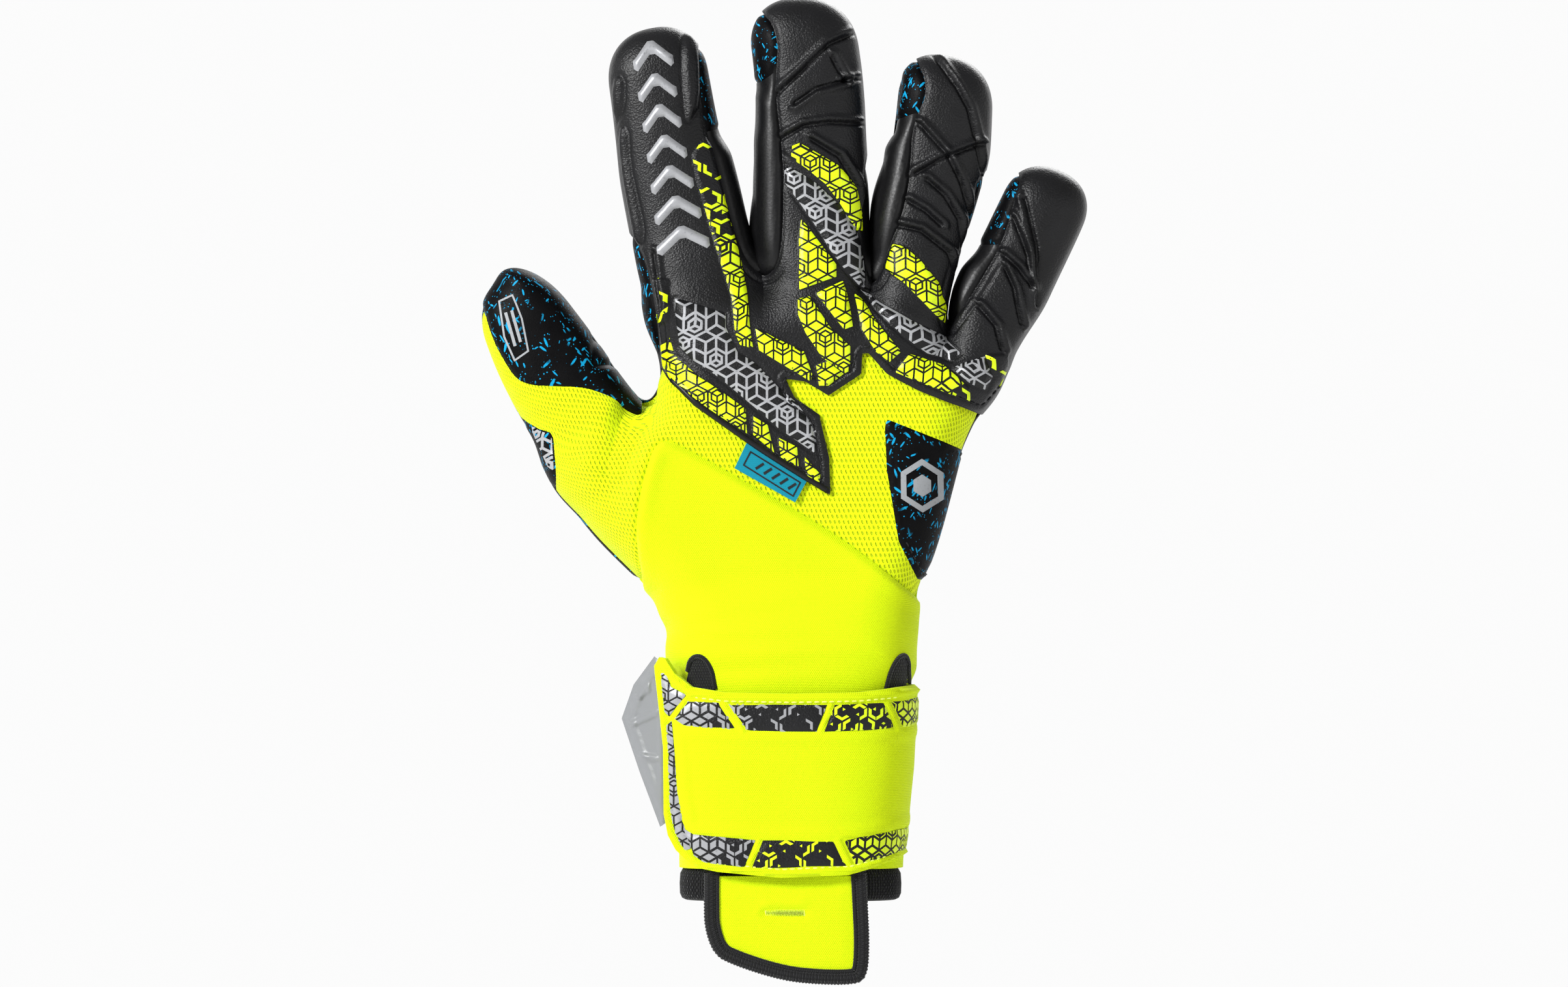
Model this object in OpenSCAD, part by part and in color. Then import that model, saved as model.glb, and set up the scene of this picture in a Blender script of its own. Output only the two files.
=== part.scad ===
// Goalkeeper glove for the right hand. All sizes are in millimetres.
// +Z runs from the wrist to the fingertips, -Y is the back of the hand and -X is the thumb side.
// The origin is the centre of the wrist opening.
// Every digit is a stall of four flat-backed walls (back, grip and two side gussets), cut at its
// two joints, and the hand and the wrist are boxes of such walls, so a hand fits inside.

/* [Digits] */
// Index knuckle, as X and Z
index_knuckle = [-29, 194]; // [-200:0.5:300]
// Middle knuckle, as X and Z
middle_knuckle = [6.3, 193.5]; // [-200:0.1:300]
// Ring knuckle, as X and Z
ring_knuckle = [38.7, 190.2]; // [-200:0.1:300]
// Little knuckle, as X and Z
little_knuckle = [61.4, 172.9]; // [-200:0.1:300]
// Thumb knuckle, as X and Z
thumb_knuckle = [-61.5, 145.7]; // [-200:0.1:300]
// Lean of the index, middle, ring and little finger from upright, towards the little finger
finger_leans = [-11.5, -1, 9.5, 23.5]; // [-12:0.5:24]
// Lean of the thumb from upright
thumb_lean = -25.4; // [-30:0.1:-20]
// Widths of the index, middle, ring and little finger below their middle joints
finger_widths = [33, 33, 26, 25]; // [23:0.5:33]
// Widths of the same fingers above their middle joints
fingertip_widths = [30, 31, 28, 24.5]; // [23:0.5:31]
// Lengths of the same fingers from the knuckle to the middle joint
finger_lengths = [27, 29, 26, 21]; // [20:0.5:30]
// Lengths of the same fingers from the middle joint to the tip
fingertip_lengths = [46.3, 52, 42, 34]; // [30:0.1:54]
// Depths of the same fingers, from back to grip
finger_depths = [27, 27, 26, 24]; // [23:0.5:28]
// Width, length to its joint, length of its tip, and depth of the thumb
thumb_size = [28, 20, 29.4, 27]; // [18:0.1:32]

/* [Walls] */
// Thickness of a digit's back panel
back_t = 4.5; // [3:0.5:5]
// Thickness of the latex grip on a digit
grip_t = 4.5; // [3:0.5:5]
// Thickness of the gussets between back and grip
gusset_t = 3.5; // [2.5:0.5:4]
// Thickness of the latex on the palm
palm_t = 5; // [4:0.5:6]
// Thickness of the knit fabric over the back of the hand
knit_t = 2.2; // [1.5:0.1:2.4]
// Thickness of the neoprene walls round the wrist
cuff_t = 3; // [2:0.5:3]

/* [Hand and wrist] */
// Depth of the space for the hand, from knuckles to palm
hand_space = 27; // [24:1:28]
// Width of the wrist
wrist_w = 77; // [74:1:80]
// Depth of the wrist
wrist_d = 50; // [48:1:54]
// Height of the cuff, from the opening to the wrist's bend
cuff_h = 70; // [68:1:71]
// Height of the wrist's bending line
wrist_z = 76; // [75:0.5:77]

/* [Strap] */
// Height of the strap's lower edge
strap_z = 8; // [7.5:0.5:10]
// Width of the strap, measured up the wrist
strap_h = 58; // [50:1:59]
// Thickness of the strap
strap_t = 2.8; // [2:0.1:3]

/* [Motion] */
// How far a finger bends at its knuckle and at its middle joint
finger_bends = [60, 70]; // [20:5:70]
// How far the thumb bends at its knuckle and at its middle joint
thumb_bends = [40, 55]; // [20:5:60]
// How far a digit bends backwards at its knuckle
knuckle_back = 10; // [0:5:15]
// How far the wrist bends either way
wrist_bend = 25; // [10:5:30]

/* [Hidden] */
$fn = 48;
c = 0.4;          // clearance at the ends of walls that turn past each other
sew = 0.2;        // gap between layers of one body
corner_r = 9;     // corner radius of the digits and the wrist
hinge_y = 5;      // depth of the digits' hinge lines, a little to the grip side
digit_y = 1;      // depth of the digits' middle planes
tip_t = 6;        // thickness of a fingertip's roll of latex

knit_y = -18.8;                        // outer face of the knit back
palm_in = hand_space / 2 + 1.9;        // inner face of the palm's latex
punch_t = 2.2;                         // thickness of the knuckle panel
punch_y = knit_y - sew - punch_t;      // its outer face
pad_t = 0.9;                           // height of the pads printed on it
cuff_y = wrist_d / 2;                  // outer faces of the cuff
strap_y = -cuff_y - 5;                 // outer face of the strap
strap_end = -41;                       // thumb-side end of the strap
strap_bend = -33;                      // from here the strap turns round the thumb side
strap_end_y = strap_y + 5.5;           // outer face of the strap at its end

// A digit is [knuckle, lean, widths, lengths, depth, bends].
function finger(i, at) = [at, finger_leans[i], [finger_widths[i], fingertip_widths[i]],
    [finger_lengths[i], fingertip_lengths[i]], finger_depths[i], finger_bends];
index = finger(0, index_knuckle);
middle = finger(1, middle_knuckle);
ring = finger(2, ring_knuckle);
little = finger(3, little_knuckle);
thumb = [thumb_knuckle, thumb_lean, [thumb_size[0], thumb_size[0]],
    [thumb_size[1], thumb_size[2]], thumb_size[3], thumb_bends];
DIGITS = [["index", index], ["middle", middle], ["ring", ring], ["little", little],
    ["thumb", thumb]];

latex_black = [0.07, 0.07, 0.08];
panel_black = [0.04, 0.04, 0.045];
neon = [0.86, 1, 0.02];
neon_knit = [0.8, 0.95, 0.02];
silver = [0.62, 0.63, 0.65];
label_blue = [0.05, 0.6, 0.8];
lining_grey = [0.35, 0.36, 0.38];

DIGIT_PARTS = ["back_lower", "grip_lower", "gussets_lower", "back_upper", "grip_upper",
    "gussets_upper"];

// ---------- shared shapes ----------

// Rectangle with round corners, about its centre.
module rounded_rect(w, d, r) {
    square([w - 2 * r, d], center = true);
    square([w, d - 2 * r], center = true);
    for (x = [-1, 1], y = [-1, 1]) translate([x * (w / 2 - r), y * (d / 2 - r)]) circle(r);
}

// Outline of a digit's end: straight sides from 0, and round corners at the top.
module end_outline(w, len, r) {
    translate([-w / 2, 0]) square([w, len - r]);
    translate([r - w / 2, 0]) square([w - 2 * r, len]);
    for (x = [-1, 1]) translate([x * (w / 2 - r), len - r]) circle(r);
}

// A plate whose outline is drawn in X and Z, between two depths.
module plate(y0, y1) {
    translate([0, y1, 0]) rotate([90, 0, 0]) linear_extrude(y1 - y0) children();
}

// A strip inside a line of points: t is the width to the line's left.
function side(p, i) =
    let (a = p[max(i - 1, 0)], b = p[min(i + 1, len(p) - 1)], v = (b - a) / norm(b - a))
    [-v.y, v.x];
function strip(p, t) = concat(p, [for (i = [len(p) - 1:-1:0]) p[i] + t * side(p, i)]);

// Puts a digit's own frame, with its knuckle at 0 and its length along +Z, at its place.
module at_knuckle(d) {
    translate([d[0].x, digit_y, d[0].y]) rotate([0, d[1], 0]) children();
}
module at_joint(d) {
    at_knuckle(d) translate([0, 0, d[3][0]]) children();
}

// ---------- digits ----------

// The whole body of a digit's lower or upper part.
module lower_body(d) {
    linear_extrude(d[3][0]) rounded_rect(d[2][0], d[4], corner_r);
}
module upper_body(d) {
    w = d[2][1];
    h = d[3][1];
    tip_r = 0.42;
    intersection() {
        linear_extrude(h) rounded_rect(w, d[4], corner_r);
        plate(-d[4], d[4]) end_outline(w, h, tip_r * w);
        rotate([90, 0, 90]) translate([0, 0, -w]) linear_extrude(2 * w)
            end_outline(d[4], h, tip_r * d[4]);
    }
}

// How far a wall at depth y stands back from a hinge that bends by the given angles.
function stand_back(y, bend, back) =
    let (h = hinge_y - digit_y) c + (y > h ? (y - h) * tan(bend / 2) : (h - y) * tan(back / 2));

// Side view of a gusset: its ends are wedges that point at the hinges.
function gusset_view(d, len, low, high) =
    let (h = hinge_y - digit_y, a = back_t + sew - d[4] / 2, b = d[4] / 2 - grip_t - sew)
    concat(
        [for (y = [a, h, b]) [y, stand_back(y, low[0], low[1])]],
        len(high) == 0 ? [[b, len - tip_t - sew], [a, len - tip_t - sew]]
            : [for (y = [b, h, a]) [y, len - stand_back(y, high[0], high[1])]]);

module gusset_pair(w, view) {
    for (x = [-w / 2, w / 2 - gusset_t]) translate([x, 0, 0])
        rotate([90, 0, 90]) linear_extrude(gusset_t) polygon(view);
}

// A slab of the digit between two depths and two heights.
module slab(y0, y1, z0, z1) {
    translate([-50, y0, z0]) cube([100, y1 - y0, z1 - z0]);
}

module back_lower(d) {
    color(panel_black) at_knuckle(d) intersection() {
        lower_body(d);
        slab(-d[4] / 2, back_t - d[4] / 2, stand_back(-d[4] / 2, 0, knuckle_back),
            d[3][0] - c);
    }
}
module grip_lower(d) {
    color(latex_black) at_knuckle(d) intersection() {
        lower_body(d);
        slab(d[4] / 2 - grip_t, d[4] / 2, stand_back(d[4] / 2, d[5][0], 0),
            d[3][0] - stand_back(d[4] / 2, d[5][1], 0));
    }
}
module gussets_lower(d) {
    color(panel_black) at_knuckle(d) intersection() {
        lower_body(d);
        gusset_pair(d[2][0], gusset_view(d, d[3][0], [d[5][0], knuckle_back], [d[5][1], 0]));
    }
}
module back_upper(d) {
    color(panel_black) at_joint(d) intersection() {
        upper_body(d);
        slab(-d[4] / 2, back_t - d[4] / 2, c, d[3][1] - tip_t - sew);
    }
}
// The latex runs up the digit and over its tip.
module grip_upper(d) {
    color(latex_black) at_joint(d) intersection() {
        upper_body(d);
        union() {
            slab(d[4] / 2 - grip_t, d[4] / 2, stand_back(d[4] / 2, d[5][1], 0),
                d[3][1] - tip_t - sew);
            slab(-d[4], d[4], d[3][1] - tip_t, d[3][1]);
        }
    }
}
module gussets_upper(d) {
    color(panel_black) at_joint(d) intersection() {
        upper_body(d);
        gusset_pair(d[2][1], gusset_view(d, d[3][1], [d[5][1], 0], []));
    }
}

// Raised silver bars across the back of the index finger.
bar_pitch = 9;
module index_bars(count, from) {
    bar = [19, 1.4, 6];
    for (i = [0:count - 1])
        translate([-bar.x / 2, -index[4] / 2 - sew - bar.y, from + i * bar_pitch]) cube(bar);
}
module index_bars_lower() {
    color(silver) at_knuckle(index) index_bars(2, 6);
}
module index_bars_upper() {
    color(silver) at_joint(index) index_bars(4, 3);
}

// ---------- hand ----------

// The corner of a digit's root, on its right (s = 1) or left (s = -1), at a drop below its hinge.
function root(d, s, drop) =
    d[0] + [s * d[2][0] / 2 * cos(d[1]) - drop * sin(d[1]),
            -s * d[2][0] / 2 * sin(d[1]) - drop * cos(d[1])];

hand_z = wrist_z + (wrist_d / 2) * tan(wrist_bend / 2) + 0.5;
half_wrist = wrist_w / 2;
right_side = [[half_wrist, hand_z], [39.8, 96.8], [44.2, 108.8], [50.2, 135.4], [57.4, 147.4],
    [64.6, 160]];
web_side = [[-44.5, 182], [-39.8, 163], [-43, 154]];
heel_side = [[-73, 129], [-61, 115], [-46.4, 101.5], [-half_wrist, hand_z]];
// The seam where the knit meets the neoprene, from the little-finger side to the thumb side.
seam = [[39, 92], [22.4, 105.2], [8, 114.8], [-11.2, 125.8], [-30.4, 136.6], [-37.8, 140.2],
    [-41.4, 137.8], [-45, 125.8], [-46.8, 111.2], [-47, 102]];

// All of the hand from the wrist up to the digits' roots. back_drop is for the four fingers.
function roots(drop) = concat(
    [root(little, 1, drop), root(little, -1, drop), root(ring, 1, drop), root(ring, -1, drop),
     root(middle, 1, drop), root(middle, -1, drop), root(index, 1, drop),
     root(index, -1, drop)],
    web_side,
    [root(thumb, 1, drop), root(thumb, -1, drop)]);
function hand_outline(drop) = concat(right_side, roots(drop), heel_side);

module knit_back() {
    drop = stand_back(-finger_depths[0] / 2, 0, knuckle_back);
    color(neon_knit) plate(knit_y, knit_y + knit_t)
        polygon(concat([for (i = [1:len(right_side) - 1]) right_side[i]], roots(drop),
            [heel_side[0], heel_side[1]], [for (i = [len(seam) - 1:-1:0]) seam[i]]));
}

module neoprene_back() {
    lift = 0.3;
    color(neon) plate(knit_y, knit_y + knit_t)
        polygon(concat([[-half_wrist, hand_z], [half_wrist, hand_z]],
            [for (p = seam) p - [0, lift + 0.5]]));
}

// The walls between back and palm: little-finger side, thumb web and heel of the thumb.
module side_walls() {
    wall_t = 3.2;
    color(neon_knit) plate(knit_y + knit_t + sew, palm_in - sew)
        for (p = [right_side, web_side, heel_side]) polygon(strip(p, wall_t));
}

palm_z = 96;
// The latex of the palm, with its straight lower edge above the heel.
module palm_latex() {
    drop = stand_back(finger_depths[0] / 2, finger_bends[0], 0);
    color(latex_black) plate(palm_in, palm_in + palm_t) intersection() {
        polygon(hand_outline(drop));
        translate([-150, palm_z]) square([300, 200]);
    }
}
// The stretch fabric below it, as far as the wrist's bend.
module palm_heel() {
    heel_t = 3;
    color(neon) plate(palm_in, palm_in + heel_t) intersection() {
        polygon(hand_outline(0));
        translate([-150, 0]) square([300, palm_z - sew]);
    }
}

// Two soft layers next to the hand, clear of the walls.
module lining_outline(edge) {
    polygon([[half_wrist - edge - 4, hand_z], [48 - edge, 134], [61 - edge, 163], [50, 170],
        [36, 182], [-38 + edge, 184], [-34 + edge, 162], [-40, 148], [-58, 138],
        [-62 + edge, 124], [-40 + edge, 102], [edge + 4 - half_wrist, hand_z]]);
}
module hand_lining() {
    lining_t = 1;
    color(lining_grey) for (y = [-hand_space / 2 - lining_t - 0.2, hand_space / 2 + 0.5])
        plate(y, y + lining_t) lining_outline(2);
}
// Foam under the knuckle panel.
module knuckle_foam() {
    foam_t = 1.6;
    color(lining_grey) plate(knit_y + knit_t + sew, knit_y + knit_t + sew + foam_t)
        polygon([[-33, 180], [-31, 160], [-8, 143], [8, 136], [8, 156], [24, 162], [52, 156],
            [58, 163], [46, 170], [34, 182], [5, 184]]);
}

// The lower edge of the knuckle panel, from the thumb side to the little finger.
panel_edge = [[-40.2, 164], [-36.5, 158.4], [-29, 150.2], [-10, 136.8], [12.4, 123.2],
    [12.2, 134.4], [9.1, 147.6], [1.6, 152.6], [-1.2, 158.4], [5, 157.6], [12, 153.4],
    [22, 160], [22, 169.2], [29.8, 160], [39, 155.1], [58.4, 148], [63, 157]];
module knuckle_panel() {
    drop = 2.6;
    color(panel_black) plate(punch_y, punch_y + punch_t) polygon(concat(panel_edge,
        [for (p = roots(drop)) if (p.y > 164) p]));
}

// Pads printed on the knuckle panel.
module on_panel(points) {
    plate(punch_y - sew - pad_t, punch_y - sew) polygon(points);
}
module yellow_pads() {
    color(neon) {
        on_panel([[-38.4, 181], [-35.4, 171.7], [-27.4, 159.2], [-13.3, 149.3], [-12.9, 141.8],
            [-28.2, 151.8], [-36.4, 162.4]]);
        on_panel([[-11.2, 147.2], [-6.6, 144.4], [-4.6, 136], [-11, 141.4]]);
        on_panel([[-3.4, 140.6], [2.4, 137.7], [2.9, 131.5], [-2.5, 134.4]]);
        on_panel([[4.5, 134.8], [9.5, 129.4], [9.2, 126.8], [5.4, 128.6]]);
        on_panel([[-20.6, 191], [-15, 169.2], [-11.4, 167.8], [-15.2, 191]]);
        on_panel([[-10.4, 173.8], [4.5, 166.8], [7, 160], [6.6, 157.6], [-9.2, 167.2]]);
        on_panel([[2.8, 182.4], [6.2, 183.3], [18.6, 168.4], [18.6, 160.9], [10, 165],
            [2.6, 178.4]]);
        on_panel([[8.2, 184.2], [15.8, 188.3], [19.2, 174.2], [14, 176.6]]);
        on_panel([[19, 184.2], [21.2, 182.4], [34, 166.7], [30.6, 163.6], [22, 173.4]]);
        on_panel([[36.4, 165.9], [47.2, 161.8], [54.7, 156], [54.7, 151.8], [43.1, 156],
            [32.3, 160.5]]);
    }
}
module silver_pads() {
    color(silver) {
        on_panel([[-33.6, 182.9], [-21.5, 179.6], [-17.4, 167.5], [-3.4, 156], [8.2, 142.6],
            [8.1, 135.6], [-10, 149.3], [-31.8, 167.4]]);
        on_panel([[22.6, 185.6], [29, 180.9], [47.2, 171.4], [52.8, 165.9], [49.6, 163.5],
            [35.2, 171]]);
    }
}

// The latex patch on the little-finger edge, and the plain badge on it.
patch_t = 1.2;
module outer_patch() {
    color(latex_black) plate(knit_y - sew - patch_t, knit_y - sew)
        polygon([[29.8, 145.5], [50, 137.8], [44.2, 112], [39.8, 98], [33.4, 108.8],
            [29.8, 130.6]]);
}
module outer_patch_badge() {
    color(silver) plate(knit_y - 2 * sew - patch_t - 0.6, knit_y - 2 * sew - patch_t)
        polygon([[35.4, 133.4], [44, 135.4], [41.8, 120], [37.2, 117.6]]);
}
// The patch on the outer edge of the thumb's root.
module thumb_patch() {
    color(latex_black) plate(knit_y - sew - patch_t, knit_y - sew)
        polygon([[-72.6, 137], [-67.5, 138.5], [-65, 130], [-63.5, 120], [-72, 129]]);
}

// The blue label hangs from the knuckle panel's lower edge.
label_top = [[-15, 138.2], [4.4, 126.2]];
module label() {
    along = (label_top[1] - label_top[0]) / norm(label_top[1] - label_top[0]);
    down = [along.y, -along.x];
    color(label_blue) plate(knit_y - 1.2, knit_y - sew - 0.1)
        polygon([label_top[0] + 0.6 * down, label_top[1] + 0.6 * down,
            label_top[1] + 7 * down, label_top[0] + 7 * down]);
}

// ---------- wrist ----------

// The ring of the wrist between two sizes, as four walls: back, palm and the two sides.
module wrist_walls(t, z0, z1, w, d, back, palm, sides) {
    intersection() {
        translate([0, 0, z0]) linear_extrude(z1 - z0) rounded_rect(w, d, corner_r);
        translate([0, 0, z0]) linear_extrude(z1 - z0) {
            if (back) translate([-w, -d / 2]) square([2 * w, t]);
            if (palm) translate([-w, d / 2 - t]) square([2 * w, t]);
            if (sides) for (x = [-w / 2, w / 2 - t])
                translate([x, t + sew - d / 2]) square([t, d - 2 * (t + sew)]);
        }
    }
}

cuff_top = wrist_z - (wrist_d / 2) * tan(wrist_bend / 2) - 0.5;
cuff_low = 9;
module cuff_back() {
    color(neon) wrist_walls(cuff_t, cuff_low, cuff_top, wrist_w, wrist_d, true, false, false);
}
module cuff_palm() {
    color(neon) wrist_walls(cuff_t, cuff_low, cuff_top, wrist_w, wrist_d, false, true, false);
}
module cuff_sides() {
    color(neon) wrist_walls(cuff_t, cuff_low, cuff_top, wrist_w, wrist_d, false, false, true);
}
// The soft neoprene at the wrist's bend, between the cuff and the hand.
module wrist_gaiter() {
    soft_t = 1.6;
    inset = 2;
    color(neon) difference() {
        translate([0, 0, cuff_top + sew]) linear_extrude(hand_z - cuff_top - 2 * sew)
            rounded_rect(wrist_w - inset, wrist_d - inset, corner_r);
        translate([0, 0, cuff_top - 1]) linear_extrude(hand_z - cuff_top + 2)
            rounded_rect(wrist_w - inset - 2 * soft_t, wrist_d - inset - 2 * soft_t,
                corner_r - soft_t);
    }
}
// The black elastic inside the cuff's lower end.
elastic_t = 1.4;
module inner_elastic() {
    gap = 2 * (cuff_t + sew);
    color(panel_black) wrist_walls(elastic_t, 0, 14, wrist_w - gap, wrist_d - gap,
        true, true, true);
}
// Two dark stretch inserts that show above the strap.
module cuff_vents() {
    vent_w = 12;
    color(panel_black) for (x = [-26.4, 27.4])
        plate(-cuff_y - 0.9, -cuff_y - sew) translate([x, 60]) intersection() {
            end_outline(vent_w, 9.6, vent_w * 0.45);
            translate([-20, 0]) square([40, 9.2]);
        }
}

// ---------- strap ----------

patch_z = [22, 54];
module loop_patch() {
    color(panel_black) plate(-cuff_y - 0.9, -cuff_y - sew)
        translate([-25, patch_z[0]]) square([30, patch_z[1] - patch_z[0]]);
}
module hook_patch() {
    color(panel_black) plate(-cuff_y - 2, -cuff_y - 1.2)
        translate([-25, patch_z[0]]) square([30, patch_z[1] - patch_z[0]]);
}
// The part of the strap that is sewn to the cuff: round the little-finger side to the palm.
module strap_anchor() {
    gap = 0.3;
    color(neon) translate([0, 0, strap_z]) {
        translate([half_wrist + gap, -cuff_y - 1, 0]) cube([strap_t, wrist_d - 1, strap_h]);
        translate([-25, cuff_y + gap, 0]) cube([25 + half_wrist, strap_t, strap_h]);
    }
}
module strap_band() {
    color(neon) translate([0, 0, strap_z]) linear_extrude(strap_h)
        polygon([[39, strap_y], [39, strap_y + strap_t], [strap_bend, strap_y + strap_t],
            [strap_end, strap_end_y + strap_t], [strap_end, strap_end_y], [strap_bend, strap_y]]);
}
// Printed trims along the strap's two long edges and its end.
module strap_trims() {
    trim_t = 0.9;
    skew = 2;
    trims = [-25, -10, 6, 20, 38];
    turn = atan((strap_end_y - strap_y) / (strap_bend - strap_end));
    color(panel_black) plate(strap_y - sew - trim_t, strap_y - sew) {
        for (z = [strap_z + 4, strap_z + strap_h - 12], i = [0:3])
            polygon([[trims[i], z], [trims[i + 1] - 2, z], [trims[i + 1] - 2 - skew, z + 8],
                [trims[i] + skew, z + 8]]);
    }
    color(panel_black) translate([strap_bend, strap_y, 0]) rotate([0, 0, -turn])
        plate(-sew - trim_t, -sew) translate([-8.2, strap_z + 6]) square([5, strap_h - 12]);
}
// The silicone tab that a finger and thumb pull to open the strap.
tab_hinge = [strap_end, strap_end_y + strap_t / 2];
module grip_tab() {
    tab_t = 2;
    tilt = -35;
    color(silver) translate([tab_hinge.x - 1.2, tab_hinge.y, 0]) rotate([0, 0, tilt])
        translate([-1, 0, 0]) plate(-tab_t / 2, tab_t / 2)
        polygon([[0, 23], [0, 71], [-1.5, 73], [-7.5, 65], [-11.5, 54.7], [-7, 38.6], [-1, 22]]);
}

// ---------- pull tab ----------

tab_y = -cuff_y - 1.4;     // outer face of the pull tab
tab_top = 6;
bind_w = 4;
// Points round the tab, from its upper thumb-side corner, inset by e.
function tab_points(e) = [[-22 + e, tab_top - 1], [-21.4 + e, -13], [-17 + e * 0.7, -20 + e],
    [-6, -23.4 + e], [8, -25.6 + e], [19 - e * 0.6, -26 + e], [23.4 - e, -22 + e * 0.5],
    [24 - e, tab_top - 1]];
module pull_tab() {
    color(neon) plate(tab_y, tab_y + 2.4) polygon(tab_points(bind_w + sew));
}
module pull_tab_binding() {
    outer = tab_points(0);
    inner = tab_points(bind_w);
    color(panel_black) plate(tab_y - 0.3, tab_y + 2.6)
        polygon(concat(outer, [for (i = [len(inner) - 1:-1:0]) inner[i]]));
}

// ---------- nodes ----------

module digit_part(d, part) {
    if (part == "back_lower") back_lower(d);
    if (part == "grip_lower") grip_lower(d);
    if (part == "gussets_lower") gussets_lower(d);
    if (part == "back_upper") back_upper(d);
    if (part == "grip_upper") grip_upper(d);
    if (part == "gussets_upper") gussets_upper(d);
}
for (d = DIGITS, p = DIGIT_PARTS)
    digit_part(d[1], p);
index_bars_lower();
index_bars_upper();
knit_back();
neoprene_back();
side_walls();
palm_latex();
palm_heel();
hand_lining();
knuckle_foam();
knuckle_panel();
yellow_pads();
silver_pads();
outer_patch();
outer_patch_badge();
thumb_patch();
label();
wrist_gaiter();
cuff_back();
cuff_palm();
cuff_sides();
inner_elastic();
cuff_vents();
loop_patch();
hook_patch();
strap_anchor();
strap_band();
strap_trims();
grip_tab();
pull_tab();
pull_tab_binding();
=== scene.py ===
"""Goalkeeper glove for the right hand, its back towards the camera.

Lengths are in mm until a mesh is made. X goes to the little finger, Y to the palm and Z to the
fingertips.
"""
import math
import bpy
import numpy as np
from mathutils.geometry import delaunay_2d_cdt
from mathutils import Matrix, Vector


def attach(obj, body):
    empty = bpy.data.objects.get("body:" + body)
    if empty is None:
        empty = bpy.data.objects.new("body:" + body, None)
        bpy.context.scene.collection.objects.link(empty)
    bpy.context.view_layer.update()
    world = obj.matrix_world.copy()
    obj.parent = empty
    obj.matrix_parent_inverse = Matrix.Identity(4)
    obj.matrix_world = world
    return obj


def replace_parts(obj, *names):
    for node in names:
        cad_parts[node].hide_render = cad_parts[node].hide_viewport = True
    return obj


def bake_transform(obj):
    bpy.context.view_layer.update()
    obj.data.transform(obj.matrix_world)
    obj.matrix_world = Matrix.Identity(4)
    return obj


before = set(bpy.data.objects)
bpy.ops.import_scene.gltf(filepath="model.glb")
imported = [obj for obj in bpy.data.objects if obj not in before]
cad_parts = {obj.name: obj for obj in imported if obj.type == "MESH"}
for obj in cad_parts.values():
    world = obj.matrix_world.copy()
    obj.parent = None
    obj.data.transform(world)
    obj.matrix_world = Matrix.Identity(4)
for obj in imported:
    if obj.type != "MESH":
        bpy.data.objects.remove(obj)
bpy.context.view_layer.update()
scene = bpy.context.scene
MM = 0.001                               # a millimetre in Blender's metres
OVAL, ROUND_END, CUFF_OVAL = 2.5, 2.3, 2.9   # exponents: 2 is an ellipse, more is squarer
CUFF_X = 0.4                             # middle of the cuff and strap


# ---------------------------------------------------------------- shapes in X and Z

def chaikin(points, rounds, closed=True):
    p = np.array(points, float)
    for _ in range(rounds):
        q = np.roll(p, -1, axis=0) if closed else p[1:]
        a = p if closed else p[:-1]
        new = np.empty((2 * len(a), p.shape[1]))
        new[0::2] = 0.75 * a + 0.25 * q
        new[1::2] = 0.25 * a + 0.75 * q
        p = new if closed else np.vstack([p[:1], new, p[-1:]])
    return p


def line_distance(points, x, z, closed=False):
    """Distance to a line of points, the length reached on it, and the side (+ is its left)."""
    p = np.array(points, float)
    q = np.roll(p, -1, axis=0)
    n = len(p) if closed else len(p) - 1
    best = np.full(x.shape, 1e9)
    along = np.zeros(x.shape)
    side = np.zeros(x.shape)
    run = 0.0
    for i in range(n):
        ax, az = p[i]
        vx, vz = q[i] - p[i]
        length = math.hypot(vx, vz) or 1e-9
        t = np.clip(((x - ax) * vx + (z - az) * vz) / length ** 2, 0, 1)
        dx, dz = x - ax - t * vx, z - az - t * vz
        d = dx * dx + dz * dz
        near = d < best
        best = np.where(near, d, best)
        along = np.where(near, run + t * length, along)
        side = np.where(near, np.sign(vx * dz - vz * dx), side)
        run += length
    return np.sqrt(best), along, side


def inside(points, x, z):
    p = np.array(points, float)
    q = np.roll(p, -1, axis=0)
    odd = np.zeros(x.shape, bool)
    for (ax, az), (bx, bz) in zip(p, q):
        if az != bz:
            odd ^= ((az > z) != (bz > z)) & (x < (bx - ax) * (z - az) / (bz - az) + ax)
    return odd


class Region:
    """Signed distance to a closed outline, negative inside, read from a fine grid."""

    def __init__(self, points, rounds=0, step=0.6, pad=14):
        self.points = chaikin(points, rounds)
        self.low = self.points.min(axis=0) - pad
        size = self.points.max(axis=0) + pad - self.low
        self.step = step
        self.n = np.ceil(size / step).astype(int) + 1
        gx, gz = np.meshgrid(self.low[0] + step * np.arange(self.n[0]),
                             self.low[1] + step * np.arange(self.n[1]), indexing="ij")
        d = line_distance(self.points, gx, gz, True)[0]
        self.grid = np.where(inside(self.points, gx, gz), -d, d).astype(np.float32)

    def __call__(self, x, z):
        u = np.clip((x - self.low[0]) / self.step, 0, self.n[0] - 1.001)
        v = np.clip((z - self.low[1]) / self.step, 0, self.n[1] - 1.001)
        i, j = u.astype(int), v.astype(int)
        fu, fv = u - i, v - j
        g = self.grid
        return ((g[i, j] * (1 - fu) + g[i + 1, j] * fu) * (1 - fv)
                + (g[i, j + 1] * (1 - fu) + g[i + 1, j + 1] * fu) * fv)


def ramp(x, a=0.0, b=1.0):
    t = np.clip((x - a) / (b - a), 0, 1)
    return t * t * (3 - 2 * t)


def smin(a, b, k):
    h = np.clip(0.5 + 0.5 * (b - a) / k, 0, 1)
    return b + (a - b) * h - k * h * (1 - h)


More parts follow.
